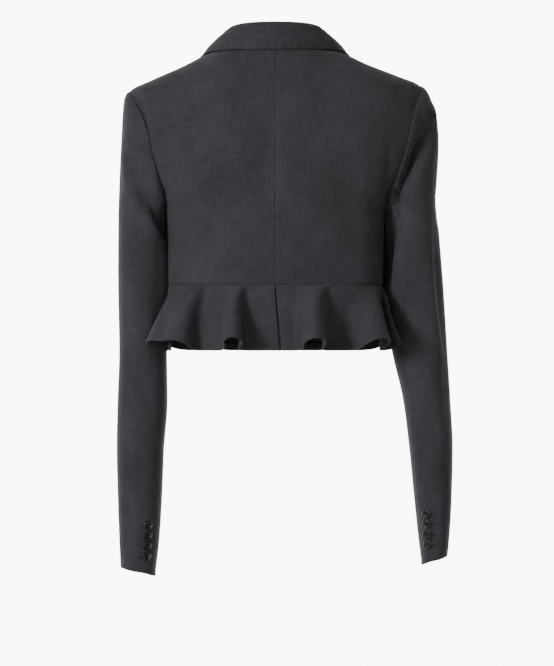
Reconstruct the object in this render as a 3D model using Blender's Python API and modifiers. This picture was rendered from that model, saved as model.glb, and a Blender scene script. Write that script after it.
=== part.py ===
"""Cropped blazer with a flared ruffle round its hem: a hollow jacket in the shape it has when worn.

Sizes are in millimetres, and become metres where a mesh is made. The jacket faces -Y, its left side is +X
and +Z is up. The origin lies midway between the two neck points, where the jacket is carried.
"""

import math

import bpy
import numpy as np
from mathutils import Vector

MM = 0.001
CLOTH = 1.6
PEPLUM_CLOTH = 1.4
SEAM = 0.3

# Heights of the main levels
NECK = 5.0
SHOULDER_POINT = -53.0
UNDERARM = -222.0
BREAK = -215.0
PEPLUM_SEAM = -328.0
SLEEVE_RING = -250.0

# Armhole seen from the side, and how squarely torso, armhole and sleeve are rounded (2 is an ellipse)
ARMHOLE_BACK = {"left": 70.0, "right": 61.0}
ARMHOLE_FRONT = {"left": 62.0, "right": 62.0}
TORSO_SQUARE = 2.4
ARMHOLE_SQUARE = 2.2
SLEEVE_SQUARE = 2.2
SHOULDER_LEAN = 4.0

# Fronts: overlap past the centre, roll line and lapel, as seen from the front
OVERLAP = 20.0
LAP_LIFT = 1.15
LAP_RAMP = (24.0, 44.0)
ROLL_AT_NECK = 68.0
GORGE_HEIGHT = -27.0
NOTCH = (93.0, -56.0)
LAPEL_POINT = (120.0, -64.0)
LAPEL_BELLY = (65.0, -153.0)
LAPEL_ENDS = {"left": (0.69, 0.79), "right": (0.95, 0.95)}
LAPEL_LIFT = 2.6
GORGE_FADE = 6
ROLL_RADIUS = 1.5
ROLL_GAP = 0.8
GORGE_GAP = 1.0

# Collar
STAND_BACK, STAND_SIDE, STAND_FRONT = 34.0, 24.0, 1.0
STAND_LEAN = 0.16
STAND_INSIDE = 1.9
COLLAR_POINT = (104.0, -26.0)
COLLAR_EDGE_BACK, COLLAR_EDGE_SIDE = 1.0, -5.0
COLLAR_LIFT = 3.6
COLLAR_CLEAR = 3.0
COLLAR_BELLY = 4.0

# Peplum: it leaves the seam straight for a moment, then flares, though hardly beside the arms
PEPLUM_LENGTH = 92.0
SEAM_TURN = 0.012
BESIDE_ARM = (10.0, 50.0)
STEEPEST = 0.95
PEPLUM_FLARE = 5.0
SIDE_FLARE = 0.4
FLUTE_START = 0.95
STEEP_START = 0.35
# How far the peplum swells out before each side seam, and where along the waist seam
SIDE_SWELL = {"left": 30.0, "right": 0.0}
SWELL_PLACE, SWELL_HALF = 162.0, 29.0
SPLIT_SWAY = 5.0
SPLIT_SWAY_WIDTH = 36.0

# Sleeves: seams as angles from the shoulder towards the back, and the cuff
HIND_SEAM = 124.0
FORE_SEAM = 255.0
SLEEVE_SEAM = 0.5
SLEEVE_RADIUS = 46.0
CUFF_TILT = 6.0
FOLD_FADE = 2
# Sleeve head: its start clear of the body's edge, as shares of the cloth, and how it leaves and arrives
HEAD_CLEAR_UNDER, HEAD_CLEAR_TOP = 1.15, 0.65
HEAD_UNDER_OUT = 8.0
HEAD_START_BACK, HEAD_START_DOWN = 0.12, 0.4
HEAD_END_IN, HEAD_END_DOWN = 0.05, 0.9

# Buttons: sizes, places, and the outline from the middle of the face to the middle of the back
CUFF_BUTTON, CUFF_BUTTON_THICK = 14.0, 3.0
CUFF_BUTTON_PITCH = 14.5
CUFF_BUTTON_RISE = 24.0
CUFF_BUTTON_ANGLE = 108.0
CUFF_BUTTONS = 4
FRONT_BUTTON, FRONT_BUTTON_THICK = 20.0, 3.6
FRONT_BUTTON_HEIGHT = -232.0
BUTTON_SIDES = 12
BUTTON_OUTLINE = (
    (0.0, 0.62), (0.62, 0.66), (0.74, 1.0), (0.9, 0.95), (1.0, 0.6), (0.9, 0.08), (0.75, 0.0), (0.0, 0.0),
)

# How finely each panel is divided
LOW_ROWS, ARM_ROWS, HIGH_ROWS = 5, 15, 6
PANEL_COLUMNS = 9
CAP_ROWS, SLEEVE_ROWS = 9, 11
ELBOW_ROW = CAP_ROWS + 4
UPPER_COLUMNS, UNDER_COLUMNS = 15, 9
PEPLUM_ROWS = 6
FLUTE_STEPS, FLAT_STEP = 12, 16.0
LAPEL_ROWS, LAPEL_COLUMNS, ROLL_STEPS = 13, 6, 3
COLLAR_BACK_COLUMNS, COLLAR_FRONT_COLUMNS = 12, 8
STAND_STEPS, FALL_STEPS = 3, 6
# How finely slopes, curves along the peplum's seam and flute sections are worked out
PROBE = 0.4
PROBE_ANGLE = 0.02
PROBE_HEIGHT = 5.0
SETTLE_ROUNDS = 4
SEAM_SAMPLES = 1201
FLUTE_SAMPLES = 241
WALL_SAMPLES = 60
THINNEST_WALL, EVEN_WALL = 0.02, 0.5
STEEPEST_BACK = math.radians(110)


def columns(names, *rows):
    """A table as one array for each named column."""
    return dict(zip(names.split(), np.array(rows, float).T))


# Half width, and depth behind and before the shoulder seam's plane, of the form that the body hangs on
TORSO = columns(
    "height half_width back front",
    (-328.0, 150.0, 95.0, 112.0),
    (-280.0, 150.0, 98.0, 118.0),
    (-240.0, 150.5, 101.0, 122.0),
    (-222.0, 153.0, 103.0, 122.0),
    (-205.0, 163.0, 104.0, 121.0),
    (-176.0, 188.0, 106.0, 117.0),
    (-140.0, 208.0, 106.0, 107.0),
    (-105.0, 214.0, 103.0, 93.0),
    (-75.0, 212.0, 97.0, 79.0),
    (-53.0, 203.0, 90.0, 70.0),
    (-38.0, 171.0, 84.0, 65.0),
    (-21.0, 130.0, 76.0, 60.0),
    (-5.0, 97.0, 68.0, 57.0),
    (5.0, 70.0, 62.0, 56.0),
)

# Outer and inner edge seen from behind, middle and half depth seen from the side
SLEEVES = {"left": columns(
    "height outer inner middle half_depth",
    (-732.0, 217.0, 169.0, -51.0, 48.0),
    (-690.0, 219.0, 164.0, -47.0, 48.5),
    (-630.0, 221.0, 160.0, -41.0, 49.0),
    (-560.0, 222.5, 157.0, -34.0, 50.0),
    (-490.0, 221.0, 152.0, -27.0, 50.5),
    (-420.0, 218.5, 152.8, -21.0, 50.5),
    (-330.0, 219.5, 152.1, -15.0, 52.0),
    (-250.0, 218.0, 152.2, -7.0, 56.0),
), "right": columns(
    "height outer inner middle half_depth",
    (-716.0, 242.0, 207.0, -51.0, 48.0),
    (-690.0, 245.0, 203.5, -48.0, 48.5),
    (-630.0, 248.5, 197.0, -42.0, 49.0),
    (-560.0, 250.0, 190.0, -35.0, 50.0),
    (-490.0, 246.5, 181.0, -28.0, 50.5),
    (-420.0, 242.0, 165.0, -21.0, 51.0),
    (-330.0, 236.0, 152.8, -15.0, 52.0),
    (-250.0, 229.0, 152.2, -7.0, 56.0),
)}
# How far the sleeve head stands out at the shoulder, and how it swings out again above the elbow
SLEEVE_HEADS = {"left": {"out": 34.0, "swing": 4.0}, "right": {"out": 112.0, "swing": 44.0}}

# Drag folds of each sleeve: soft troughs from one angle and height to another
SLEEVE_FOLDS = {"left": columns(
    "from_angle from_height to_angle to_height depth width",
    (62.0, -150.0, 150.0, -236.0, 5.0, 15.0),
    (96.0, -330.0, 165.0, -400.0, 3.0, 16.0),
), "right": columns(
    "from_angle from_height to_angle to_height depth width",
    (38.0, -112.0, 112.0, -198.0, 9.0, 13.0),
    (40.0, -340.0, 100.0, -420.0, 3.0, 16.0),
)}

# Folds of the back: the hollow along the centre seam, and the ease beside each armhole
BACK_FOLDS = columns(
    "from_x from_height to_x to_height depth width",
    (0.0, -70.0, 0.0, -200.0, 4.0, 26.0),
    (-152.0, -140.0, -148.0, -205.0, 4.0, 11.0),
    (153.0, -150.0, 150.0, -215.0, 3.0, 12.0),
)

# Flutes of the peplum, counted from the centre back along the seam: how wide each is at the seam, how far
# it stands out at the hem, how much it fans out there, the angle by which it sweeps to the back, and the
# angle of its steep wall, which is the inner one, or the outer one where the angle is below zero
FLUTES = {"left": columns(
    "place width reach fan sweep steep",
    (61.0, 48.0, 52.0, 0.0, 6.0, 112.0),
    (138.0, 80.0, 45.0, 1.3, 4.0, 92.0),
    (270.0, 52.0, 42.0, 0.4, 0.0, 95.0),
    (330.0, 54.0, 46.0, 0.3, 0.0, 95.0),
), "right": columns(
    "place width reach fan sweep steep",
    (50.0, 56.0, 52.0, 0.3, 0.0, -94.0),
    (133.0, 74.0, 49.0, 0.7, 28.0, -94.0),
    (183.0, 26.0, 41.0, 0.3, 37.0, 112.0),
    (268.0, 54.0, 44.0, 0.4, 0.0, 95.0),
    (328.0, 54.0, 44.0, 0.3, 0.0, 95.0),
)}

LEFT, RIGHT = 1, -1
SIDES = {"left": LEFT, "right": RIGHT}


def smooth(at, places, values):
    """Value at each place of a curve through the table's rows, with no overshoot between them."""
    step = np.diff(places)
    rise = np.diff(values) / step
    same_way = rise[:-1] * rise[1:] > 0
    total = np.where(same_way, rise[:-1] + rise[1:], 1.0)
    inner = np.where(same_way, 2 * rise[:-1] * rise[1:] / total, 0.0)
    slope = np.concatenate([rise[:1], inner, rise[-1:]])
    at = np.asarray(at, float)
    row = np.clip(np.searchsorted(places, at) - 1, 0, len(step) - 1)
    share = np.clip((at - places[row]) / step[row], 0, 1)
    return hermite(values[row], slope[row] * step[row], values[row + 1], slope[row + 1] * step[row], share)


def hermite(start, start_pull, end, end_pull, share):
    """Cubic from start to end that leaves and arrives along the two pulls."""
    square, cube = share**2, share**3
    near = start * (2 * cube - 3 * square + 1) + start_pull * (cube - 2 * square + share)
    return near + end * (3 * square - 2 * cube) + end_pull * (cube - square)


def ease(value, low, high):
    """0 up to low, 1 from high on, and a soft S between them."""
    share = np.clip((value - low) / (high - low), 0, 1)
    return share * share * (3 - 2 * share)


def squared(value, square):
    """A sine or cosine, squared off so that a round section becomes a boxier one."""
    return np.sign(value) * np.abs(value) ** (2 / square)


def torso_sizes(height):
    """Half width, back depth and front depth of the torso form at each height."""
    return [smooth(height, TORSO["height"], TORSO[name]) for name in ("half_width", "back", "front")]


def torso(turn, height):
    """Points on the torso form. Turn is 0 at the centre back, 1 at the side and 2 at the centre front."""
    turn, height = np.broadcast_arrays(np.asarray(turn, float), np.asarray(height, float))
    half_width, back, front = torso_sizes(height)
    angle = turn * math.pi / 2
    x = half_width * squared(np.sin(angle), TORSO_SQUARE)
    y = np.where(turn < 1, back, front) * squared(np.cos(angle), TORSO_SQUARE)
    return np.stack([x, y, height], -1)


def turn_at_width(x, height):
    """Turn, counted from the centre line, at which the torso form is x wide."""
    half_width = torso_sizes(height)[0]
    share = np.clip(x / half_width, -1, 1)
    return np.arcsin(np.sign(share) * np.abs(share) ** (TORSO_SQUARE / 2)) * 2 / math.pi


def turn_at_depth(y, height, front):
    """Turn of the point that lies y behind (or before) the shoulder seam's plane."""
    depth = torso_sizes(height)[2 if front else 1]
    turn = np.arccos(np.clip(y / depth, 0, 1) ** (TORSO_SQUARE / 2)) * 2 / math.pi
    return 2 - turn if front else turn


def off_torso(points):
    """How far points lie outside the torso form, and the direction straight out of it there."""

    def level(p):
        half_width, back, front = torso_sizes(p[..., 2])
        depth = np.where(p[..., 1] >= 0, back, front)
        wide = np.abs(p[..., 0]) / half_width
        deep = np.abs(p[..., 1]) / depth
        return (wide**TORSO_SQUARE + deep**TORSO_SQUARE) ** (1 / TORSO_SQUARE) - 1

    steps = np.eye(3) * PROBE
    slope = np.stack([(level(points + s) - level(points - s)) / (2 * PROBE) for s in steps], -1)
    steepness = np.linalg.norm(slope, axis=-1, keepdims=True)
    return level(points) / steepness[..., 0], slope / steepness


def settle(points, gap, only_out=False):
    """Points moved straight out of the torso form, or in, until they lie the gap off it."""
    for _ in range(SETTLE_ROUNDS):
        distance, out = off_torso(points)
        move = gap - distance
        if only_out:
            move = np.maximum(move, 0)
        points = points + out * move[..., None]
    return points


def lean(points):
    """The shoulders as they hang: the left one a little lower than the right."""
    share = points[..., 0] / TORSO["half_width"].max()
    drop = SHOULDER_LEAN * share * np.abs(share) * ease(points[..., 2], PEPLUM_SEAM, SHOULDER_POINT)
    return points - np.stack([0 * drop, 0 * drop, drop], -1)


def trough(folds, across, along):
    """Depth of the soft troughs that run over a panel, each along a line between two places on it."""
    names = list(folds)
    depth = np.zeros(np.broadcast(across, along).shape)
    for row in zip(*(folds[name] for name in names)):
        from_across, from_along, to_across, to_along, deepest, width = row
        run = np.array([to_across - from_across, to_along - from_along])
        share = ((across - from_across) * run[0] + (along - from_along) * run[1]) / (run @ run)
        share = np.clip(share, 0, 1)
        aside = np.hypot(across - from_across - share * run[0], along - from_along - share * run[1])
        depth += deepest * np.exp(-((aside / width) ** 2))
    return depth


def armhole(angle, side_name, front):
    """Distance from the side seam's plane, and height, of the armhole. Angle runs from the shoulder down."""
    reach = (ARMHOLE_FRONT if front else ARMHOLE_BACK)[side_name]
    middle, half = (SHOULDER_POINT + UNDERARM) / 2, (SHOULDER_POINT - UNDERARM) / 2
    away = reach * squared(np.sin(angle), ARMHOLE_SQUARE)
    return away, middle + half * squared(np.cos(angle), ARMHOLE_SQUARE)


def panel_rows(side_name, front):
    """Height of each row of a body panel, and how far its outer edge lies from the side seam's plane."""
    low = np.linspace(PEPLUM_SEAM, UNDERARM, LOW_ROWS, endpoint=False)
    away, beside_arm = armhole(np.linspace(math.pi, 0, ARM_ROWS), side_name, front)
    high = np.linspace(SHOULDER_POINT, NECK, HIGH_ROWS + 1)[1:]
    height = np.concatenate([low, beside_arm, high])
    edge = np.concatenate([0 * low, np.abs(away), 0 * high])
    return height, np.maximum(edge, SEAM / 2)


def sew(name, grid, thickness, material):
    """One piece of cloth: a surface through a grid of points, made a wall by a Solidify modifier."""
    rows, across = grid.shape[:2]
    index = np.arange(rows * across).reshape(rows, across)
    corners = index[:-1, :-1], index[:-1, 1:], index[1:, 1:], index[1:, :-1]
    mesh = bpy.data.meshes.new(name)
    mesh.from_pydata((grid.reshape(-1, 3) * MM).tolist(), [], np.stack(corners, -1).reshape(-1, 4).tolist())
    mesh.shade_smooth()
    mesh.materials.append(material)
    piece = bpy.data.objects.new(name, mesh)
    wall = piece.modifiers.new("Wall", "SOLIDIFY")
    wall.thickness = thickness * MM
    wall.offset = 0
    return piece


def mirrored(grid, side):
    """Points of the left side, or of the right one."""
    return grid * np.array([side, 1, 1])


def back_grid(side_name):
    """Half of the back, from the centre seam to the side seam, armhole and shoulder seam."""
    side = SIDES[side_name]
    height, edge = panel_rows(side_name, front=False)
    last = turn_at_depth(edge, height, front=False)
    first = turn_at_width(SEAM / 2, height)
    share = np.linspace(0, 1, PANEL_COLUMNS)
    turn = first[:, None] + (last - first)[:, None] * share
    points = torso(turn, height[:, None])
    sunk = trough(BACK_FOLDS, points[..., 0] * side, points[..., 2])
    return lean(mirrored(points - off_torso(points)[1] * sunk[..., None], side))


def roll_line(height):
    """Distance of a front's inner edge from the centre: straight up to the break, then along the roll."""
    share = np.clip((height - BREAK) / (NECK - BREAK), 0, 1)
    return -OVERLAP + (ROLL_AT_NECK + OVERLAP) * share


def lap(points, side):
    """How far a front is lifted off the form near the centre, where the right front lies over the left."""
    near_centre = 1 - ease(points[..., 0], *LAP_RAMP)
    return -side * LAP_LIFT * near_centre * (1 - ease(points[..., 2], BREAK, GORGE_HEIGHT))


def front_grid(side_name):
    """One front, from its side seam, armhole and shoulder seam to its edge and the lapel's roll line."""
    side = SIDES[side_name]
    height, edge = panel_rows(side_name, front=True)
    first = turn_at_depth(edge, height, front=True)
    last = 2 - turn_at_width(roll_line(height), height)
    share = np.linspace(0, 1, PANEL_COLUMNS)
    points = torso(first[:, None] + (last - first)[:, None] * share, height[:, None])
    return lean(mirrored(points + off_torso(points)[1] * lap(points, side)[..., None], side))


def on_front(x, height):
    """Points of the front of the torso form, as seen from the front."""
    return torso(2 - turn_at_width(x, height), height)


def along_corner(start, corner, end, share):
    """Points along two straight lines that meet at a corner, by their share of the whole length."""
    stops = np.array([start, corner, end])
    run = np.concatenate([[0], np.cumsum(np.linalg.norm(np.diff(stops, axis=0), axis=1))])
    return np.stack([np.interp(share * run[-1], run, stops[:, i]) for i in range(stops.shape[1])], -1)


def roll_frame(edge):
    """Directions at a front's roll line: out of the front, and on past its edge into the opening."""
    out = off_torso(edge)[1]
    away = np.cross(np.gradient(edge, axis=0), out)
    away *= -np.sign(away[:, :1]) / np.linalg.norm(away, axis=1, keepdims=True)
    return out, away


def lapel_grid(side_name):
    """One lapel: from the front's roll line it turns over, then lies back on the front as far as its edge."""
    side = SIDES[side_name]
    roll_end, edge_end = LAPEL_ENDS[side_name]
    height = GORGE_HEIGHT - GORGE_GAP + (BREAK - GORGE_HEIGHT) * np.linspace(0, roll_end, LAPEL_ROWS)
    inner = np.stack([roll_line(height), height], -1)
    share = np.linspace(0, edge_end, LAPEL_ROWS)[:, None]
    low = np.array([-OVERLAP, BREAK])
    outer = ((1 - share) ** 2 * np.array(LAPEL_POINT) + 2 * share * (1 - share) * np.array(LAPEL_BELLY)
             + share**2 * low)
    width = np.linspace(0, 1, LAPEL_COLUMNS)
    spot = inner[:, None] + (outer - inner)[:, None] * width[None, :, None]
    gorge = along_corner(inner[0], NOTCH, LAPEL_POINT, width) - spot[0]
    spot = spot + (1 - share[:, None]) ** GORGE_FADE * gorge[None]
    flat = on_front(spot[..., 0], spot[..., 1])
    rise = LAPEL_LIFT + (2 * ROLL_RADIUS - LAPEL_LIFT) * (1 - width) ** 3
    flat = flat + off_torso(flat)[1] * (rise + lap(flat, side))[..., None]

    edge = on_front(inner[:, 0], inner[:, 1])
    out, away = roll_frame(edge)
    edge = edge + out * lap(edge, side)[:, None]
    angle = np.linspace(0, math.pi, ROLL_STEPS, endpoint=False)[None, :, None]
    rolled = (edge[:, None] + away[:, None] * (ROLL_GAP + ROLL_RADIUS * np.sin(angle))
              + out[:, None] * ROLL_RADIUS * (1 - np.cos(angle)))
    return lean(mirrored(np.concatenate([rolled, flat], axis=1), side))


def collar_grid():
    """The collar: up the stand from the neck seam, over the fold, and down the fall to its outer edge."""
    back = np.linspace(0, 1, COLLAR_BACK_COLUMNS)
    front = np.linspace(0, 1, COLLAR_FRONT_COLUMNS)[1:]
    to_front = np.concatenate([0 * back, front])[:, None]

    seam_height = NECK + (GORGE_HEIGHT - NECK) * front
    front_seam = on_front(roll_line(seam_height), seam_height)
    seam = np.concatenate([torso(back, NECK), front_seam])
    level = off_torso(seam)[1] * np.array([1, 1, 0])
    level /= np.linalg.norm(level, axis=1, keepdims=True)
    up = np.array([0, 0, 1]) - level * STAND_LEAN
    front_out, front_away = roll_frame(front_seam)
    out, rise = level.copy(), up / np.linalg.norm(up, axis=1, keepdims=True)
    out[len(back):] += (front_out - out[len(back):]) * front[:, None]
    rise[len(back):] += (front_away - rise[len(back):]) * front[:, None]
    out /= np.linalg.norm(out, axis=1, keepdims=True)
    rise /= np.linalg.norm(rise, axis=1, keepdims=True)
    stand = np.concatenate([STAND_BACK + (STAND_SIDE - STAND_BACK) * back**2,
                            STAND_SIDE + (STAND_FRONT - STAND_SIDE) * front])[:, None]
    bottom = seam - out * STAND_INSIDE * (1 - to_front**2) + rise * ROLL_GAP * to_front
    top = bottom + rise * stand

    edge_height = COLLAR_EDGE_BACK + (COLLAR_EDGE_SIDE - COLLAR_EDGE_BACK) * back**3
    side_edge = torso(1.0, COLLAR_EDGE_SIDE)
    point = on_front(*COLLAR_POINT)
    edge = np.concatenate([torso(back, edge_height), side_edge + (point - side_edge) * front[:, None]])
    edge = settle(edge, COLLAR_LIFT)

    share = np.linspace(0, 1, STAND_STEPS, endpoint=False)[None, :, None]
    stand_rows = bottom[:, None] + (top - bottom)[:, None] * share
    angle = np.linspace(0, math.pi, ROLL_STEPS + 1)[None, :, None]
    fold_rows = (top[:, None] + out[:, None] * ROLL_RADIUS * (1 - np.cos(angle))
                 + rise[:, None] * ROLL_RADIUS * np.sin(angle))
    start = fold_rows[:, -1:]
    share = np.linspace(0, 1, FALL_STEPS + 1)[1:]
    fall_rows = start + (edge[:, None] - start) * share[None, :, None]
    fall_rows = fall_rows + out[:, None] * (COLLAR_BELLY * 4 * share * (1 - share))[None, :, None]

    corner = settle(on_front(NOTCH[0] + SEAM, NOTCH[1] + GORGE_GAP), COLLAR_LIFT)
    bend = along_corner(start[-1, 0], corner, edge[-1], share) - fall_rows[-1]
    fall_rows = fall_rows + (to_front**2)[:, :, None] * bend[None]
    fall_rows = settle(fall_rows, COLLAR_CLEAR, only_out=True)
    half = np.concatenate([stand_rows, fold_rows, fall_rows], axis=1)
    return lean(np.concatenate([mirrored(half[:0:-1], RIGHT), half]))


def sleeve_ring(table, angle, height):
    """Points round a sleeve at a height: angle 0 is its outer side, a quarter turn its back."""
    outer, inner, middle, half_depth = (
        smooth(height, table["height"], table[name]) for name in ("outer", "inner", "middle", "half_depth"))
    x = (outer + inner) / 2 + (outer - inner) / 2 * squared(np.cos(angle), SLEEVE_SQUARE)
    y = middle + half_depth * squared(np.sin(angle), SLEEVE_SQUARE)
    return np.stack(np.broadcast_arrays(x, y, height), -1)


def seam_allowance(table, angle, height):
    """Angle that half a sleeve seam's gap takes up at each height."""
    run = sleeve_ring(table, angle + PROBE_ANGLE, height) - sleeve_ring(table, angle - PROBE_ANGLE, height)
    return SLEEVE_SEAM * PROBE_ANGLE / np.linalg.norm(run, axis=-1)


def armhole_points(side_name, angle, front):
    """Points of the body's armhole on the torso form."""
    away, height = armhole(angle, side_name, front)
    points = torso(turn_at_depth(np.abs(away), height, front), height)
    return mirrored(lean(mirrored(points, SIDES[side_name])), SIDES[side_name])


def sleeve_cap(side_name, angle, share):
    """Points of the sleeve head: from the armhole they run out and down to the sleeve's first full ring."""
    table, head = SLEEVES[side_name], SLEEVE_HEADS[side_name]
    behind = (np.sin(angle) >= 0)[..., None]
    start = np.where(behind, armhole_points(side_name, angle, False), armhole_points(side_name, angle, True))
    upper = (1 + np.cos(angle)) / 2
    clear = SEAM + CLOTH * (HEAD_CLEAR_UNDER + (HEAD_CLEAR_TOP - HEAD_CLEAR_UNDER) * upper)
    start = start + np.array([1, 0, 0]) * clear[..., None]
    end = sleeve_ring(table, angle, np.full_like(angle, SLEEVE_RING))
    drop = start[..., 2] - SLEEVE_RING
    back = drop * np.sin(angle)
    out = head["out"] * upper**2 + HEAD_UNDER_OUT * (1 - upper)
    start_pull = np.stack([out, HEAD_START_BACK * back, -HEAD_START_DOWN * drop], -1)
    end_pull = np.stack([head["swing"] * upper, -HEAD_END_IN * back, -HEAD_END_DOWN * drop], -1)
    return hermite(start, start_pull, end, end_pull, share[..., None])


def sleeve_grid(side_name, from_angle, to_angle, across):
    """One sleeve panel between two seams, from the armhole to the cuff."""
    table, folds = SLEEVES[side_name], SLEEVE_FOLDS[side_name]
    down = np.concatenate([np.zeros(CAP_ROWS), np.linspace(0, 1, SLEEVE_ROWS)])[:, None]
    level = SLEEVE_RING + (table["height"][0] - SLEEVE_RING) * down[:, 0]
    first = math.radians(from_angle) + seam_allowance(table, math.radians(from_angle), level)
    last = math.radians(to_angle) - seam_allowance(table, math.radians(to_angle), level)
    angle = first[:, None] + (last - first)[:, None] * np.linspace(0, 1, across)
    share = np.broadcast_to(np.linspace(0, 1, CAP_ROWS, endpoint=False)[:, None], (CAP_ROWS, across))
    cap = sleeve_cap(side_name, angle[:CAP_ROWS], share)
    cuff = table["height"][0] + CUFF_TILT * np.cos(angle)
    height = SLEEVE_RING + (cuff - SLEEVE_RING) * down
    points = np.concatenate([cap, sleeve_ring(table, angle, height)[CAP_ROWS:]])
    round_mm = {name: np.radians(folds[name]) * SLEEVE_RADIUS for name in ("from_angle", "to_angle")}
    sunk = trough({**folds, **round_mm}, angle * SLEEVE_RADIUS, points[..., 2])
    sunk = sunk * ease(np.arange(len(points)), 0, FOLD_FADE)[:, None]
    inward = np.stack([-np.cos(angle), -np.sin(angle), 0 * angle], -1)
    return mirrored(points + inward * sunk[..., None], SIDES[side_name])


def stretches(grid):
    """The upper sleeve as three solids, so that the collision round each stays as hollow as the sleeve is."""
    stops = {"head": (0, CAP_ROWS), "arm": (CAP_ROWS, ELBOW_ROW), "forearm": (ELBOW_ROW, len(grid) - 1)}
    for stretch, (first, last) in stops.items():
        rows = grid[first:last + 1].copy()
        for end, inner in ((0, 1), (-1, -2)):
            way = rows[inner] - rows[end]
            rows[end] += way / np.linalg.norm(way, axis=1, keepdims=True) * SEAM / 2
        yield stretch, rows


def flute_section(ratio, steep):
    """A flute across its width: along it and out of it, from the cloth's heading.

    On the first wall the heading is half a sine up to the steep angle, and on the second half a sine down to
    the angle that brings the cloth back to the seam's line: a wall rises by its share of the cloth times the
    mean sine of its heading. The first wall's share makes the flute ratio times as deep as it is wide.
    """
    run = np.linspace(0, 1, FLUTE_SAMPLES)
    half_sine = np.sin(math.pi * run)
    angles = np.linspace(0, STEEPEST_BACK, WALL_SAMPLES)
    rises = np.sin(angles[:, None] * half_sine).mean(1)

    def section(wall):
        back = np.interp(wall / (1 - wall) * np.sin(steep * half_sine).mean(), rises, angles)
        first, second = np.clip(run / wall, 0, 1), np.clip((run - wall) / (1 - wall), 0, 1)
        heading = steep * np.sin(math.pi * first) - back * np.sin(math.pi * second)
        middle = (heading[1:] + heading[:-1]) / 2
        along = np.concatenate([[0], np.cumsum(np.cos(middle))])
        out = np.concatenate([[0], np.cumsum(np.sin(middle))])
        return along / along[-1], (out - out[-1] * run) / along[-1]

    walls = np.linspace(THINNEST_WALL, EVEN_WALL, WALL_SAMPLES)
    depths = [section(wall)[1].max() for wall in walls]
    return run, *section(np.interp(ratio, depths, walls))


def peplum_ring():
    """The peplum seam from centre back past centre front: turn, place along it, point and way out."""
    past_front = 2 + turn_at_width(OVERLAP, PEPLUM_SEAM)
    turn = np.linspace(turn_at_width(SEAM / 2, PEPLUM_SEAM), past_front, SEAM_SAMPLES)
    points = torso(turn, PEPLUM_SEAM)
    place = np.concatenate([[0], np.cumsum(np.linalg.norm(np.diff(points, axis=0), axis=1))])
    out = off_torso(points)[1]
    out[:, 2] = 0
    out /= np.linalg.norm(out, axis=1, keepdims=True)
    return turn, place, points, out


def flute_steps(flutes, first, last):
    """Columns of a peplum piece: where each starts, its flute or -1, and its share across the flute."""
    steps = []
    at = first
    for number, (middle, width) in enumerate(zip(flutes["place"], flutes["width"])):
        low, high = middle - width / 2, middle + width / 2
        if high < first or low > last:
            continue
        flats = math.ceil((low - at) / FLAT_STEP)
        steps += [(at + (low - at) * k / flats, -1, 0.0) for k in range(flats)]
        steps += [(low, number, k / FLUTE_STEPS) for k in range(FLUTE_STEPS)]
        at = high
    flats = math.ceil((last - at) / FLAT_STEP)
    steps += [(at + (last - at) * k / flats, -1, 0.0) for k in range(flats + 1)]
    start, number, share = zip(*steps)
    return np.array(start), np.array(number), np.array(share)


def fluted(flutes, steps, flare):
    """Place of each column along the seam, and how far it stands out, with the flutes flared so far."""
    start, number, share = steps
    place, stands_out = start.copy(), np.zeros(len(start))
    for flute, (width, reach, steep) in enumerate(zip(flutes["width"], flutes["reach"], flutes["steep"])):
        here = number == flute
        wall = math.radians(abs(steep)) * flare**STEEP_START
        run, along, out = flute_section(reach * flare**FLUTE_START / width, wall)
        if steep < 0:
            along, out = 1 - along[::-1], out[::-1]
        place[here] += width * np.interp(share[here], run, along)
        stands_out[here] = width * np.interp(share[here], run, out)
    return place, stands_out


def peplum_grid(side_name, front):
    """One peplum piece: it hangs from the seam, and swells into flutes that stand out most at the hem."""
    side, flutes = SIDES[side_name], FLUTES[side_name]
    turn, ring_place, ring, ring_out = peplum_ring()
    side_seam = np.interp(1.0, turn, ring_place)
    first, last = (side_seam + SEAM / 2, ring_place[-1]) if front else (0.0, side_seam - SEAM / 2)
    steps = flute_steps(flutes, first, last)
    number = steps[1]
    fan = np.where(number < 0, 1.0, flutes["fan"][number])[:, None]
    sweep = np.radians(np.where(number < 0, 0.0, flutes["sweep"][number]))

    def at(values, place):
        return np.stack([np.interp(place, ring_place, values[:, i]) for i in range(2)], -1)

    rows = []
    down = np.concatenate([[0], np.linspace(SEAM_TURN, 1, PEPLUM_ROWS)])
    for fall in down:
        flare = max(fall - SEAM_TURN, 0) / (1 - SEAM_TURN)
        place, stands_out = fluted(flutes, steps, flare)
        swell = np.cos(np.clip((place - SWELL_PLACE) / SWELL_HALF, -1, 1) * math.pi / 2) ** 2
        stands_out = stands_out + SIDE_SWELL[side_name] * flare * swell
        root, flat_out = at(ring, place), at(ring_out, place)
        out = flat_out * fan + at(ring_out, flutes["place"][number]) * (1 - fan)
        out /= np.linalg.norm(out, axis=1, keepdims=True)
        out = np.stack([out[:, 0] * np.cos(sweep) - out[:, 1] * np.sin(sweep),
                        out[:, 0] * np.sin(sweep) + out[:, 1] * np.cos(sweep)], -1)
        free = ease(np.abs(root[:, 1]), *BESIDE_ARM)
        flat_flare = (SIDE_FLARE + (PEPLUM_FLARE - SIDE_FLARE) * free) * flare
        length = PEPLUM_LENGTH * fall
        hangs = np.sqrt(length**2 - np.minimum(stands_out + flat_flare, length * STEEPEST) ** 2)
        spot = root + out * stands_out[:, None] + flat_out * flat_flare[:, None]
        if front:
            spot[:, 1] -= lap(np.stack([spot[:, 0], spot[:, 1], 0 * hangs + BREAK], -1), side)
        else:
            spot[:, 0] -= side * SPLIT_SWAY * fall * (1 - ease(root[:, 0], 0, SPLIT_SWAY_WIDTH))
        rows.append(np.stack([spot[:, 0], spot[:, 1], PEPLUM_SEAM - SEAM - hangs], -1))
    return mirrored(np.array(rows), side)


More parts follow.
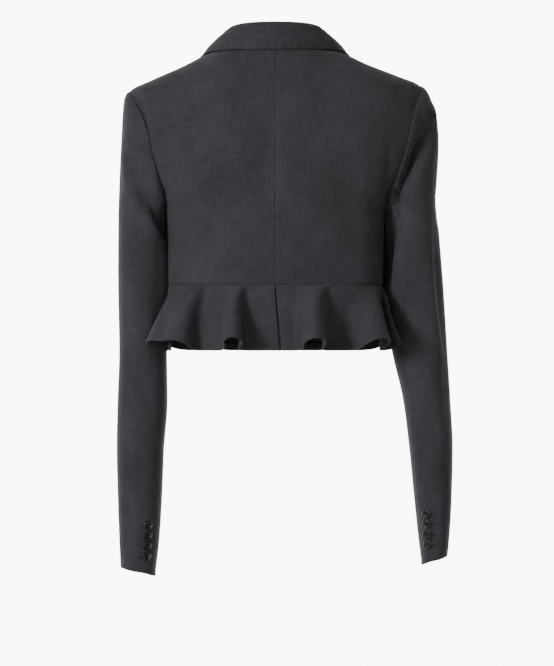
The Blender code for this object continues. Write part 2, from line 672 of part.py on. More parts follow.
def button(name, at, facing, diameter, thickness, material):
    """A turned button with a raised rim, its back just clear of the cloth it is sewn to."""
    radius = diameter / 2
    mesh = bpy.data.meshes.new(name)
    points = [(r * radius * MM, 0.0, z * thickness * MM) for r, z in BUTTON_OUTLINE]
    mesh.from_pydata(points, [(i, i + 1) for i in range(len(points) - 1)], [])
    mesh.materials.append(material)
    piece = bpy.data.objects.new(name, mesh)
    turned = piece.modifiers.new("Turned", "SCREW")
    turned.steps = turned.render_steps = BUTTON_SIDES
    turned.use_merge_vertices = True
    turned.merge_threshold = 0.00001
    piece.rotation_mode = "QUATERNION"
    piece.rotation_quaternion = Vector((0, 0, 1)).rotation_difference(Vector(facing))
    piece.location = Vector((at + np.array(facing) * (CLOTH / 2 + SEAM)) * MM)
    return piece


def cuff_buttons(side_name, material):
    """A row of buttons up the back of a cuff, beside its hind seam."""
    side, table = SIDES[side_name], SLEEVES[side_name]
    angle = math.radians(CUFF_BUTTON_ANGLE)
    lowest = table["height"][0] + CUFF_TILT * math.cos(angle) + CUFF_BUTTON_RISE
    pieces = []
    for number in range(CUFF_BUTTONS):
        level = lowest + number * CUFF_BUTTON_PITCH
        point = sleeve_ring(table, angle, level)
        around = sleeve_ring(table, angle + PROBE_ANGLE, level) - point
        up = sleeve_ring(table, angle, level + PROBE_HEIGHT) - point
        facing = np.cross(up, around)
        facing *= np.sign(facing[1]) / np.linalg.norm(facing)
        name = f"cuff_button_{side_name}_{number + 1}"
        point, facing = mirrored(point, side), mirrored(facing, side)
        pieces.append(button(name, point, facing, CUFF_BUTTON, CUFF_BUTTON_THICK, material))
    return pieces


def front_button(material):
    """The one button of the fronts, on the right front at the centre line."""
    panel = front_grid("right")
    centre_line = [np.interp(0.0, row[:, 0], row[:, 1]) for row in panel]
    at = np.array([0.0, np.interp(FRONT_BUTTON_HEIGHT, panel[:, -1, 2], centre_line), FRONT_BUTTON_HEIGHT])
    return button("front_button", at, off_torso(at)[1], FRONT_BUTTON, FRONT_BUTTON_THICK, material)


def finish(name, colour, roughness):
    """A material with the given colour, in linear red, green and blue."""
    material = bpy.data.materials.new(name)
    material.use_nodes = True
    shader = material.node_tree.nodes["Principled BSDF"]
    shader.inputs["Base Color"].default_value = (*colour, 1.0)
    shader.inputs["Roughness"].default_value = roughness
    shader.inputs["Metallic"].default_value = 0.0
    return material


def build():
    for old in list(bpy.data.objects):
        bpy.data.objects.remove(old)
    jacket = bpy.data.collections.new("ruffled_cropped_blazer")
    bpy.context.scene.collection.children.link(jacket)
    wool = finish("charcoal_wool", (0.045, 0.044, 0.05), 0.85)
    horn = finish("black_button", (0.012, 0.012, 0.012), 0.35)
    pieces = [sew("collar", collar_grid(), CLOTH, wool)]
    for name in SIDES:
        upper = sleeve_grid(name, FORE_SEAM - 360, HIND_SEAM, UPPER_COLUMNS)
        under = sleeve_grid(name, HIND_SEAM, FORE_SEAM, UNDER_COLUMNS)
        pieces += [
            sew(f"back_{name}", back_grid(name), CLOTH, wool),
            sew(f"front_{name}", front_grid(name), CLOTH, wool),
            sew(f"lapel_{name}", lapel_grid(name), CLOTH, wool),
            *[sew(f"sleeve_upper_{name}_{stretch}", rows, CLOTH, wool) for stretch, rows in stretches(upper)],
            sew(f"sleeve_under_{name}", under, CLOTH, wool),
            sew(f"peplum_back_{name}", peplum_grid(name, False), PEPLUM_CLOTH, wool),
            sew(f"peplum_front_{name}", peplum_grid(name, True), PEPLUM_CLOTH, wool),
            *cuff_buttons(name, horn),
        ]
    pieces.append(front_button(horn))
    for piece in pieces:
        jacket.objects.link(piece)


build()
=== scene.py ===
"""Looks of the ruffled cropped blazer: thin wool shells on the forms of its solids, seams, hems and buttons.

Sizes are in millimetres, and become metres where a mesh is made.
The jacket faces -Y and its left side is +X.
"""

import math

import bmesh
import bpy
import numpy as np
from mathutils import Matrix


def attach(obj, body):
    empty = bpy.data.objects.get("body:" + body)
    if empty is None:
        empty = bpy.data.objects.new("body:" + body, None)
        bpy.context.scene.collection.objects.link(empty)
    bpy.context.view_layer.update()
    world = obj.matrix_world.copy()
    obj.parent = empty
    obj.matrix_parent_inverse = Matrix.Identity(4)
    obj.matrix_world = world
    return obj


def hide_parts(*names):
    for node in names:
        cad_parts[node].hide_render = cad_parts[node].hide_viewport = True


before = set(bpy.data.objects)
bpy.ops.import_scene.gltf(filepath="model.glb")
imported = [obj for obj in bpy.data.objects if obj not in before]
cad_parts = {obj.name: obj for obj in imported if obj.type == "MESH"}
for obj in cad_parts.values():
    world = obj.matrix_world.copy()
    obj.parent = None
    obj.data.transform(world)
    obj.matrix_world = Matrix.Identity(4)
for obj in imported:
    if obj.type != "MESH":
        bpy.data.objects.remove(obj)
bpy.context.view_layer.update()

MM = 0.001
WALL = 1.6           # thickness of the solids, whose outer faces these shells keep to
PEPLUM_WALL = 1.4
SHELL = 0.85         # one layer of suiting
SEAM = 0.3
WELD = 0.002
TINY = 1e-12
SLOPE_REACH = 0.4    # how far off a point the form's slope is felt
TURN_REACH = 0.02    # the same round a sleeve, as an angle
LEVEL_REACH = 5.0    # and along it
SETTLE_ROUNDS = 4
EDGE_SAMPLE = 0.5    # steps along an edge that distances are measured from
DISTANCE_PARTS = 24  # lots in which points are measured, to save memory

# Heights of the main levels
NECK = 5.0
SHOULDER_POINT = -53.0
UNDERARM = -222.0
BREAK = -215.0
PEPLUM_SEAM = -328.0
SLEEVE_RING = -250.0

# Armhole seen from the side, and how squarely torso, armhole and sleeve are rounded (2 is an ellipse)
ARMHOLE_BACK = {"left": 70.0, "right": 61.0}
ARMHOLE_FRONT = {"left": 62.0, "right": 62.0}
TORSO_SQUARE = 2.4
ARMHOLE_SQUARE = 2.2
SLEEVE_SQUARE = 2.6
SHOULDER_LEAN = 4.0

# Fronts: overlap past the centre, roll line and lapel, as seen from the front
OVERLAP = 20.0
LAP_LIFT = 1.15
LAP_RAMP = (24.0, 44.0)
ROLL_AT_NECK = 68.0
GORGE_HEIGHT = -27.0
NOTCH = (93.0, -56.0)
LAPEL_POINT = (120.0, -64.0)
LAPEL_BELLY = (65.0, -153.0)
LAPEL_ENDS = {"left": (0.69, 0.79), "right": (0.95, 0.95)}
LAPEL_LIFT = 2.6
GORGE_FADE = 6
ROLL_RADIUS = 1.5
ROLL_GAP = 0.8
GORGE_GAP = 1.0

# Collar
STAND_BACK, STAND_SIDE, STAND_FRONT = 34.0, 24.0, 1.0
STAND_LEAN = 0.16
STAND_INSIDE = 1.9
COLLAR_POINT = (104.0, -26.0)
COLLAR_EDGE_BACK, COLLAR_EDGE_SIDE = -0.8, -6.5
COLLAR_LIFT = 2.7
COLLAR_CLEAR = 2.4
COLLAR_BELLY = 4.0
COLLAR_FRONT_LENGTH, FALL_LENGTH = 60.0, 40.0     # rough lengths, for crowding steps at their ends

# Peplum: it leaves the seam straight for a moment, then flares, though hardly beside the sleeves
PEPLUM_LENGTH = 92.0
SEAM_TURN = 0.012
BESIDE_SLEEVE = (10.0, 50.0)
STEEPEST = 0.95
PEPLUM_FLARE = 5.0
SIDE_FLARE = 0.4
FLUTE_START = 0.85
STEEP_START = 0.35
# How far the peplum swells out before each side seam, and where along the waist seam
SIDE_SWELL = {"left": 30.0, "right": 0.0}
SWELL_PLACE, SWELL_HALF = 162.0, 29.0
SPLIT_SWAY = 8.0
SPLIT_SWAY_WIDTH = 36.0
SPLIT_GAP, SPLIT_ROLL = 0.5, 2.6
SPLIT_TOP = (2.0, 12.0)

# Sleeves: seams as angles from the shoulder towards the back, and the cuff
HIND_SEAM = 124.0
FORE_SEAM = 255.0
SLEEVE_SEAM = 0.5
SLEEVE_RADIUS = 46.0
CUFF_TILT = 6.0
HEAD_UNDER_CLEAR, HEAD_CLEAR = 1.75, 0.25
HEAD_UNDER_OUT = 1.0
HEAD_START_BACK, HEAD_START_DOWN = 0.12, 0.4
HEAD_END_IN, HEAD_END_DOWN = 0.05, 0.9
FOLD_FADE = (0.0, 14.0)
PAST_SEAM = 0.03
# Seam allowance of the sleeve under the body's edge: how far under it, and how deep
ALLOWANCE = ((7.0, 3.4), (2.0, 3.4), (0.3, 3.0))
ALLOWANCE_LEAN = 1.6
# The peplum's allowance turns up inside the body: how far past the seam and how deep each row lies
WAIST_ALLOWANCE = ((8.0, 3.0), (2.0, 2.8), (0.4, 2.2))
PUFF_RISE, PUFF_FADE = 5.0, 60.0
PRESSED_DEPTH = (24.0, 52.0)
PRESSED_TOP = (-205.0, -165.0)
PRESS_GAP = 1.75
PRESS_REACH = (4.0, 9.0)
PRESS_LOW = (-352.0, -338.0)
VENT_LENGTH, VENT_LIFT, VENT_WIDTH = 92.0, 0.9, 24.0
VENT_SOFT, VENT_FLAT = 6.0, 4.0
UNDER_TO_UPPER = (0.1, 0.4)     # shares of the way up its ring between which a sleeve head comes closer

# Seam edges roll in, hems turn under
EDGE_ROLL = 1.3
EDGE_STEPS = (0.0, 0.1, 0.32, 0.7, 1.3, 2.1, 3.4)
ABOVE_EDGE = 5.0     # where the body's even rows start over the waist seam
HEM_ROLL = 1.0
HEM_FOLD_STEPS = 7
CUFF_HEM, PEPLUM_HEM = 34.0, 9.0

# Buttons
CUFF_BUTTON, CUFF_BUTTON_THICK = 14.0, 3.0
CUFF_BUTTON_PITCH = 14.5
CUFF_BUTTON_RISE = 24.0
CUFF_BUTTON_ANGLE = 108.0
CUFF_BUTTONS = 4
FRONT_BUTTON, FRONT_BUTTON_THICK = 20.0, 3.6
FRONT_BUTTON_HEIGHT = -232.0

# How finely each panel is divided
LOW_ROWS, ARMHOLE_ROWS, HIGH_ROWS = 34, 84, 34
PANEL_STEPS = 70
CAP_ROWS, SLEEVE_ROWS = 54, 120
UPPER_STEPS, UNDER_STEPS = 84, 44
PEPLUM_ROWS = 34
FLUTE_STEPS, FLAT_STEP = 56, 3.0
LAPEL_ROWS, LAPEL_STEPS, ROLL_STEPS = 90, 40, 9
COLLAR_BACK_COLUMNS, COLLAR_FRONT_COLUMNS = 70, 46
STAND_STEPS, FALL_STEPS = 14, 30
CREASE_SAMPLES, CREASE_FADE = 41, 0.7
ARMHOLE_SAMPLES = 181
FLUTE_SAMPLES = 241
RING_SAMPLES = 1201
WALL_SAMPLES = 60
THINNEST_WALL, EVEN_WALL = 0.02, 0.5
STEEPEST_BACK = math.radians(110)


def columns(names, *rows):
    """A table as one array for each named column."""
    return dict(zip(names.split(), np.array(rows, float).T))


# Half width, and depth behind and before the shoulder seam's plane, of the form that the body hangs on
TORSO = columns(
    "height half_width back front",
    (-328, 150, 95, 112),
    (-280, 150, 98, 118),
    (-240, 150.5, 101, 122),
    (-222, 153, 103, 122),
    (-205, 163, 104, 121),
    (-176, 188, 106, 117),
    (-140, 208, 106, 107),
    (-105, 214, 103, 93),
    (-75, 212, 97, 79),
    (-53, 203, 90, 70),
    (-38, 171, 84, 65),
    (-21, 130, 76, 60),
    (-5, 97, 68, 57),
    (5, 70, 62, 56),
)

# Outer and inner edge seen from behind, middle and half depth seen from the side
SLEEVES = {"left": columns(
    "height outer inner middle half_depth",
    (-732, 217, 169, -51, 48),
    (-690, 219, 164, -47, 48.5),
    (-630, 221, 160, -41, 49),
    (-560, 222.5, 157, -34, 50),
    (-490, 221, 152, -27, 50.5),
    (-420, 218.5, 152.8, -21, 50.5),
    (-330, 219.5, 152.1, -15, 52),
    (-250, 218, 152.2, -7, 56),
), "right": columns(
    "height outer inner middle half_depth",
    (-716, 242, 207, -51, 48),
    (-690, 245, 203.5, -48, 48.5),
    (-630, 248.5, 197, -42, 49),
    (-560, 250, 190, -35, 50),
    (-490, 246.5, 181, -28, 50.5),
    (-420, 242, 165, -21, 51),
    (-330, 236, 152.8, -15, 52),
    (-250, 229, 152.2, -7, 56),
)}
# How far the sleeve head stands out at the shoulder, how it swings out again above the elbow, and how far
# it puffs out beside the armhole's seam
SLEEVE_HEADS = {
    "left": {"out": 34.0, "swing": 4.0, "puff": 6.0},
    "right": {"out": 112.0, "swing": 44.0, "puff": 3.0},
}

# Creases of each panel: a curve from its start past a bend to its end, how deep it is (a ridge is below
# zero), and how fast it rises on its right-hand and on its left-hand side going along it.
# Places on a sleeve are the angle from its outer side towards the back, and the height.
CREASE = "from_across from_along bend_across bend_along to_across to_along depth right left"
SLEEVE_CREASES = {"left": columns(
    CREASE,
    (30, -128, 94, -232, 184, -276, 7, 8, 20),
    (24, -140, 84, -242, 172, -290, -3, 10, 9),
    (118, -170, 150, -205, 168, -250, 3, 12, 12),
    (146, -262, 150, -310, 142, -380, -5, 14, 14),
    (128, -350, 118, -400, 112, -470, 2.2, 12, 18),
    (104, -380, 98, -470, 96, -590, 1.6, 16, 22),
    (60, -300, 96, -330, 140, -352, 1.2, 12, 16),
), "right": columns(
    CREASE,
    (20, -92, 66, -148, 134, -218, 24, 11, 22),
    (10, -76, 58, -126, 128, -192, -5, 8, 12),
    (100, -204, 150, -232, 166, -350, 14, 20, 16),
    (2, -72, 4, -118, 2, -204, -4, 30, 30),
    (36, -236, 48, -330, 30, -430, 4, 14, 9),
    (52, -240, 66, -340, 46, -450, -1.8, 10, 10),
    (30, -410, 42, -470, 40, -540, 2.4, 16, 12),
    (120, -330, 100, -420, 110, -520, 1.2, 18, 18),
)}
# Places on the back are the distance from the centre seam, to the left, and the height
BACK_CREASES = columns(
    CREASE,
    (6, -56, 10, -150, 4, -230, 4.5, 12, 26),
    (-159, -128, -156, -170, -152, -222, 3, 7, 4),
    (153, -140, 150, -180, 150, -222, 3, 12, 12),
    (204, -54, 191, -84, 178, -116, 3, 9, 5),
    (-130, -90, -126, -210, -130, -335, -5, 28, 20),
    (128, -110, 126, -220, 130, -335, -3, 20, 26),
    (60, -262, 90, -296, 130, -318, 1.2, 22, 30),
    (-70, -270, -98, -296, -128, -316, 1, 22, 26),
    (40, -70, 90, -96, 140, -110, 0.9, 30, 30),
    (-52, -84, -96, -104, -136, -130, 1, 26, 30),
)

# Flutes of the peplum, counted from the centre back along the seam: how wide each is at the seam, how far
# it stands out at the hem, how much it fans out there, the angle by which it sweeps to the back, and the
# angle of its steep wall, which is the inner one, or the outer one where the angle is below zero
FLUTES = {"left": columns(
    "place width reach fan sweep steep",
    (61, 48, 52, 0, 6, 112),
    (138, 80, 45, 1.3, 4, 92),
    (270, 52, 42, 0.4, 0, 95),
    (330, 54, 46, 0.3, 0, 95),
), "right": columns(
    "place width reach fan sweep steep",
    (50, 56, 52, 0.3, 0, -94),
    (133, 74, 49, 0.7, 28, -94),
    (183, 26, 41, 0.3, 37, 112),
    (268, 54, 44, 0.4, 0, 95),
    (328, 54, 44, 0.3, 0, 95),
)}

LEFT, RIGHT = 1, -1
SIDES = {"left": LEFT, "right": RIGHT}


# Curves

def hermite(start, start_pull, end, end_pull, share):
    """Cubic from start to end that leaves and arrives along the two pulls."""
    square, cube = share**2, share**3
    near = start * (2 * cube - 3 * square + 1) + start_pull * (cube - 2 * square + share)
    return near + end * (3 * square - 2 * cube) + end_pull * (cube - square)


def smooth(at, places, values):
    """Piecewise cubic through a table's rows, with slopes that never overshoot between them."""
    step = np.diff(places)
    rise = np.diff(values) / step
    same_way = rise[:-1] * rise[1:] > 0
    total = np.where(same_way, rise[:-1] + rise[1:], 1.0)
    inner = np.where(same_way, 2 * rise[:-1] * rise[1:] / total, 0.0)
    slope = np.concatenate([rise[:1], inner, rise[-1:]])
    at = np.asarray(at, float)
    row = np.clip(np.searchsorted(places, at) - 1, 0, len(step) - 1)
    share = np.clip((at - places[row]) / step[row], 0, 1)
    return hermite(values[row], slope[row] * step[row], values[row + 1], slope[row + 1] * step[row], share)


def ease(value, low, high):
    """0 up to low, 1 from high on, and the soft S 3t^2 - 2t^3 between them."""
    share = np.clip((value - low) / (high - low), 0, 1)
    return share * share * (3 - 2 * share)


def squared(value, square):
    """A sine or cosine to the power 2/square, which makes a round section a boxier one."""
    return np.sign(value) * np.abs(value) ** (2 / square)


def unit(vectors):
    """Vectors of length one."""
    return vectors / np.maximum(np.linalg.norm(vectors, axis=-1, keepdims=True), TINY)


def run_along(points):
    """Length along a row of points, from 0 at the first."""
    return np.concatenate([[0], np.cumsum(np.linalg.norm(np.diff(points, axis=0), axis=1))])


def along_corner(start, corner, end, share):
    """Points along two straight lines that meet at a corner, by their share of the whole length."""
    stops = np.array([start, corner, end])
    run = run_along(stops)
    return np.stack([np.interp(share * run[-1], run, stops[:, i]) for i in range(stops.shape[1])], -1)


def crowded(length, steps):
    """Shares across a width that crowd at both edges: the edge steps, then even steps between."""
    length = np.asarray(length, float)[..., None]
    near = np.array(EDGE_STEPS)
    even = np.linspace(0, 1, steps + 2)[1:-1]
    inner = near[-1] + (length - 2 * near[-1]) * even
    edges = np.broadcast_to(near, (*length.shape[:-1], len(near)))
    return np.concatenate([edges, inner, length - edges[..., ::-1]], -1) / length


def from_edge(length, steps):
    """Shares along a length that crowd at its start: the edge steps, then even steps to the end."""
    near = np.array(EDGE_STEPS) / length
    return np.concatenate([near, np.linspace(near[-1], 1, steps + 1)[1:]])


def normals(grid):
    """Unit normal at each point of a grid: the cross product of its slopes along rows and columns."""
    return unit(np.cross(np.gradient(grid, axis=1), np.gradient(grid, axis=0)))


# The form that the body hangs on

def torso_sizes(height):
    """Half width, back depth and front depth of the torso form at each height."""
    return [smooth(height, TORSO["height"], TORSO[name]) for name in ("half_width", "back", "front")]


def torso(turn, height):
    """Superellipse at each height. Turn is 0 at the centre back, 1 at the side and 2 at the centre front."""
    turn, height = np.broadcast_arrays(np.asarray(turn, float), np.asarray(height, float))
    half_width, back, front = torso_sizes(height)
    angle = turn * math.pi / 2
    x = half_width * squared(np.sin(angle), TORSO_SQUARE)
    y = np.where(turn < 1, back, front) * squared(np.cos(angle), TORSO_SQUARE)
    return np.stack([x, y, height], -1)


def turn_at_width(x, height):
    """Turn, counted from the centre line, at which the torso form is x wide: the superellipse's inverse."""
    share = np.clip(x / torso_sizes(height)[0], -1, 1)
    return np.arcsin(np.sign(share) * np.abs(share) ** (TORSO_SQUARE / 2)) * 2 / math.pi


def turn_at_depth(y, height, front):
    """Turn of the point that lies y behind (or before) the shoulder seam's plane."""
    depth = torso_sizes(height)[2 if front else 1]
    turn = np.arccos(np.clip(y / depth, 0, 1) ** (TORSO_SQUARE / 2)) * 2 / math.pi
    return 2 - turn if front else turn


def off_torso(points):
    """How far points lie outside the torso form, and the way out of it: its level over the level's slope."""

    def level(p):
        half_width, back, front = torso_sizes(p[..., 2])
        depth = np.where(p[..., 1] >= 0, back, front)
        wide, deep = np.abs(p[..., 0]) / half_width, np.abs(p[..., 1]) / depth
        return (wide**TORSO_SQUARE + deep**TORSO_SQUARE) ** (1 / TORSO_SQUARE) - 1

    steps = np.eye(3) * SLOPE_REACH
    slope = np.stack([(level(points + s) - level(points - s)) / (2 * SLOPE_REACH) for s in steps], -1)
    steepness = np.linalg.norm(slope, axis=-1, keepdims=True)
    return level(points) / steepness[..., 0], slope / steepness


def settle(points, gap, only_out=False):
    """Points moved straight out of the torso form, or in, until they lie the gap off it."""
    for _ in range(SETTLE_ROUNDS):
        distance, out = off_torso(points)
        move = gap - distance
        if only_out:
            move = np.maximum(move, 0)
        points = points + out * move[..., None]
    return points


def on_front(x, height):
    """Points of the front of the torso form, as seen from the front."""
    return torso(2 - turn_at_width(x, height), height)


def lean(points):
    """The shoulders as they hang, the left one lower: a drop that grows with the square of x."""
    share = points[..., 0] / TORSO["half_width"].max()
    drop = SHOULDER_LEAN * share * np.abs(share) * ease(points[..., 2], PEPLUM_SEAM, SHOULDER_POINT)
    return points - np.stack([0 * drop, 0 * drop, drop], -1)


def mirrored(grid, side):
    """Points of the left side, or of the right one."""
    return grid * np.array([side, 1, 1])


# Creases, seam edges and hems

def creases(table, across, along):
    """Depth of the creases at each place: depth times a bell of the distance from each crease's curve.

    The curve is a quadratic one through start, bend and end. The bell is exp(-(distance/width)^2) with a
    width of its own on each side, and a power of half a sine along the curve fades it out at both ends.
    """
    share = np.linspace(0, 1, CREASE_SAMPLES)
    weights = np.stack([(1 - share) ** 2, 2 * share * (1 - share), share**2])
    sunk = np.zeros(np.broadcast(across, along).shape)
    for from_x, from_z, bend_x, bend_z, to_x, to_z, depth, right, left in zip(*table.values()):
        curve = np.array([[from_x, bend_x, to_x], [from_z, bend_z, to_z]]) @ weights
        heading = np.gradient(curve, axis=1)
        apart = np.stack([across[..., None] - curve[0], along[..., None] - curve[1]])
        near = (apart**2).sum(0).argmin(-1)
        aside = np.take_along_axis(apart, near[None, ..., None], -1)[..., 0]
        turn = heading[0][near] * aside[1] - heading[1][near] * aside[0]
        width = np.where(turn > 0, left, right)
        fade = np.sin(math.pi * share[near]) ** CREASE_FADE
        sunk += depth * fade * np.exp(-(aside**2).sum(0) / width**2)
    return sunk


def edge_distance(points, edge):
    """Distance of every point from an edge, which is first divided into short steps."""
    run = run_along(edge)
    dense_run = np.arange(0, run[-1], EDGE_SAMPLE)
    dense = np.stack([np.interp(dense_run, run, edge[:, i]) for i in range(3)], -1)
    flat = points.reshape(-1, 3)
    parts = np.array_split(flat, DISTANCE_PARTS)
    far = [np.sqrt(((part[:, None] - dense[None]) ** 2).sum(-1).min(1)) for part in parts]
    return np.concatenate(far).reshape(points.shape[:-1])


def roll_in(grid, out, edges, keep=1.0, radius=EDGE_ROLL):
    """A grid whose edges turn in by a quarter circle, as cloth does at a pressed seam.

    A point at a distance d below the radius sinks by r - sqrt(r^2 - (r - d)^2), the deepest of all edges,
    and only the kept share of it.
    """
    sunk = np.zeros(grid.shape[:-1])
    for edge in edges:
        near = np.clip(1 - edge_distance(grid, edge) / radius, 0, 1)
        sunk = np.maximum(sunk, radius * (1 - np.sqrt(1 - near**2)))
    return grid - out * (sunk * keep)[..., None]


def turn_hem(grid, depth):
    """A grid with its last row turned under: half a circle round the edge, then back up inside the cloth."""
    out = normals(grid)
    down = unit(grid[-1] - grid[-2])
    angle = np.linspace(0, math.pi, HEM_FOLD_STEPS + 1)[1:, None, None]
    fold = grid[-1] + HEM_ROLL * (down * np.sin(angle) - out[-1] * (1 - np.cos(angle)))
    run = np.linalg.norm(np.diff(grid[::-1], axis=0), axis=-1).mean(1).cumsum()
    rows = 1 + int(np.searchsorted(run, depth))
    inside = (grid - out * 2 * HEM_ROLL)[::-1][1:rows + 1]
    return np.concatenate([grid, fold, inside])


def finished(grid, out, tucked, hem, side):
    """A panel with its tucked allowance before its first row, its faces out and its hem turned under."""
    grid = np.concatenate([row[None] for row in tucked] + [grid])
    out = np.concatenate([out[:1]] * len(tucked) + [out])
    if (normals(grid) * out).sum() <= 0:
        grid = grid[:, ::-1]
    return mirrored(turn_hem(grid, hem), side)


def cloth_map(grid, grain=0, offset=0.0):
    """Places on the flat cloth in metres: the length along each row from the column that the grain follows,
    and the length down that column."""
    across = np.linalg.norm(np.diff(grid, axis=1), axis=-1)
    down = np.linalg.norm(np.diff(grid[:, grain], axis=0), axis=-1)
    u = np.concatenate([np.zeros((len(grid), 1)), across.cumsum(1)], 1)
    u = u - u[:, grain][:, None] + offset
    return np.stack([u, np.concatenate([[0], down.cumsum()])[:, None] + 0 * u], -1) * MM


def sleeve_sizes(table, height):
    """Outer and inner edge, middle and half depth of a sleeve at each height."""
    names = "outer", "inner", "middle", "half_depth"
    return [smooth(height, table["height"], table[name]) for name in names]


def sleeve_map(grid, side_name):
    """Places on a sleeve's flat cloth in metres: the angle round it times its radius, and the height."""
    outer, inner, middle, half_depth = sleeve_sizes(SLEEVES[side_name], grid[..., 2])
    wide = (grid[..., 0] * SIDES[side_name] - (outer + inner) / 2) / (outer - inner)
    angle = np.unwrap(np.arctan2((grid[..., 1] - middle) / half_depth / 2, wide), axis=1)
    return np.stack([angle * SLEEVE_RADIUS, grid[..., 2]], -1) * MM


def mesh_piece(name, grids, material, maps=None):
    """One object from grids of points: a quad for each cell, faces out, smooth, with the cloth's own map."""
    points, faces, places = [], [], []
    start = 0
    for number, grid in enumerate(grids):
        rows, across = grid.shape[:2]
        index = start + np.arange(rows * across).reshape(rows, across)
        corners = index[:-1, :-1], index[:-1, 1:], index[1:, 1:], index[1:, :-1]
        faces.append(np.stack(corners, -1).reshape(-1, 4))
        points.append(grid.reshape(-1, 3))
        places.append((maps[number] if maps else np.zeros((rows, across, 2))).reshape(-1, 2))
        start += rows * across
    mesh = bpy.data.meshes.new(name)
    mesh.from_pydata((np.concatenate(points) * MM).tolist(), [], np.concatenate(faces).tolist())
    layer = mesh.uv_layers.new(name="cloth")
    corner = np.empty(len(mesh.loops), np.int32)
    mesh.loops.foreach_get("vertex_index", corner)
    layer.data.foreach_set("uv", np.concatenate(places)[corner].ravel())
    mesh.shade_smooth()
    mesh.materials.append(material)
    piece = bpy.data.objects.new(name, mesh)
    bpy.context.scene.collection.objects.link(piece)
    return piece


def facing_out(grid, places, axis_x):
    """A grid and its map, turned over if its last columns' faces look towards the upright axis at that x."""
    columns_seen = grid.shape[1] // 4
    away = grid[:, -columns_seen:, :2] - np.array([axis_x, 0.0])
    if (normals(grid)[:, -columns_seen:, :2] * away).sum() > 0:
        return grid, places
    return grid[:, ::-1], places[:, ::-1]


def close_up(piece):
    """Welds the seams of turned shapes, caps open ends and points their faces outwards."""
    body = bmesh.new()
    body.from_mesh(piece.data)
    bmesh.ops.remove_doubles(body, verts=body.verts, dist=WELD * MM)
    bmesh.ops.holes_fill(body, edges=[edge for edge in body.edges if edge.is_boundary], sides=0)
    bmesh.ops.recalc_face_normals(body, faces=body.faces)
    body.to_mesh(piece.data)
    body.free()
    piece.data.shade_smooth()


def sew(name, grid, places, material, axis_x=0.0, nodes=()):
    """One panel of cloth in place of its solids: a shell through the grid, its thickness turned inwards."""
    grid, places = facing_out(grid, places, axis_x)
    piece = mesh_piece(f"{name}_cloth", [grid], material, [places])
    wall = piece.modifiers.new("Cloth", "SOLIDIFY")
    wall.thickness = SHELL * MM
    wall.offset = -1
    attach(piece, "root")
    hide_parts(*(nodes or [name]))
    return piece


# Body

def armhole(angle, side_name, front):
    """Distance from the side seam's plane, and height, of the armhole. Angle runs from the shoulder down."""
    reach = (ARMHOLE_FRONT if front else ARMHOLE_BACK)[side_name]
    middle, half = (SHOULDER_POINT + UNDERARM) / 2, (SHOULDER_POINT - UNDERARM) / 2
    away = reach * squared(np.sin(angle), ARMHOLE_SQUARE)
    return away, middle + half * squared(np.cos(angle), ARMHOLE_SQUARE)


def panel_rows(side_name, front):
    """Height of each row of a body panel, and how far its outer edge lies from the side seam's plane."""
    near = np.array(EDGE_STEPS)
    low = np.linspace(PEPLUM_SEAM + ABOVE_EDGE, UNDERARM, LOW_ROWS, endpoint=False)
    low = np.concatenate([PEPLUM_SEAM + near, low])
    away, beside_armhole = armhole(np.linspace(math.pi, 0, ARMHOLE_ROWS), side_name, front)
    high = np.linspace(SHOULDER_POINT, NECK, HIGH_ROWS + 1)[1:]
    height = np.concatenate([low, beside_armhole, high])
    edge = np.concatenate([0 * low, np.abs(away), 0 * high])
    return height, np.maximum(edge, SEAM / 4)


def panel_turns(first, last, height):
    """Turns across each row of a body panel, crowded at both edges by the row's own width."""
    ends = torso(first, height), torso(last, height)
    share = crowded(np.linalg.norm(ends[1] - ends[0], axis=-1), PANEL_STEPS)
    return first[:, None] + (last - first)[:, None] * share


def free_of_sleeve(points):
    """0 where a sleeve hangs pressed against the side of the body, and 1 away from there."""
    return np.maximum(ease(np.abs(points[..., 1]), *PRESSED_DEPTH), ease(points[..., 2], *PRESSED_TOP))


def edges_of(grid, names):
    """The named edges of a grid: first and last row or column."""
    ends = {"low": grid[0], "high": grid[-1], "first": grid[:, 0], "last": grid[:, -1]}
    return [ends[name] for name in names.split()]


def roll_line(height):
    """Distance of a front's inner edge from the centre: straight up to the break, then along the roll."""
    share = np.clip((height - BREAK) / (NECK - BREAK), 0, 1)
    return -OVERLAP + (ROLL_AT_NECK + OVERLAP) * share


def lap(points, side):
    """How far a front is lifted off the form near the centre, where the right front lies over the left."""
    near_centre = 1 - ease(points[..., 0], *LAP_RAMP)
    return -side * LAP_LIFT * near_centre * (1 - ease(points[..., 2], BREAK, GORGE_HEIGHT))


def body_grid(side_name, front):
    """Half of the back, sunk by its creases, or one front, lifted where it laps. All four edges roll in."""
    side = SIDES[side_name]
    height, edge = panel_rows(side_name, front)
    beside_armhole = turn_at_depth(edge, height, front)
    if front:
        first, last = beside_armhole, 2 - turn_at_width(roll_line(height), height)
    else:
        first, last = np.zeros_like(height), beside_armhole
    points = torso(panel_turns(first, last, height), height[:, None])
    out = off_torso(points)[1]
    lifted = lap(points, side) if front else -creases(BACK_CREASES, points[..., 0] * side, points[..., 2])
    grid = points + out * (WALL / 2 + lifted)[..., None]
    grid = roll_in(grid, out, edges_of(grid, "low high first last"), free_of_sleeve(points))
    return lean(mirrored(grid, side))


def roll_frame(edge):
    """Directions at a front's roll line: out of the front, and on past its edge into the opening."""
    out = off_torso(edge)[1]
    away = np.cross(np.gradient(edge, axis=0), out)
    away *= -np.sign(away[:, :1]) / np.linalg.norm(away, axis=1, keepdims=True)
    return out, away


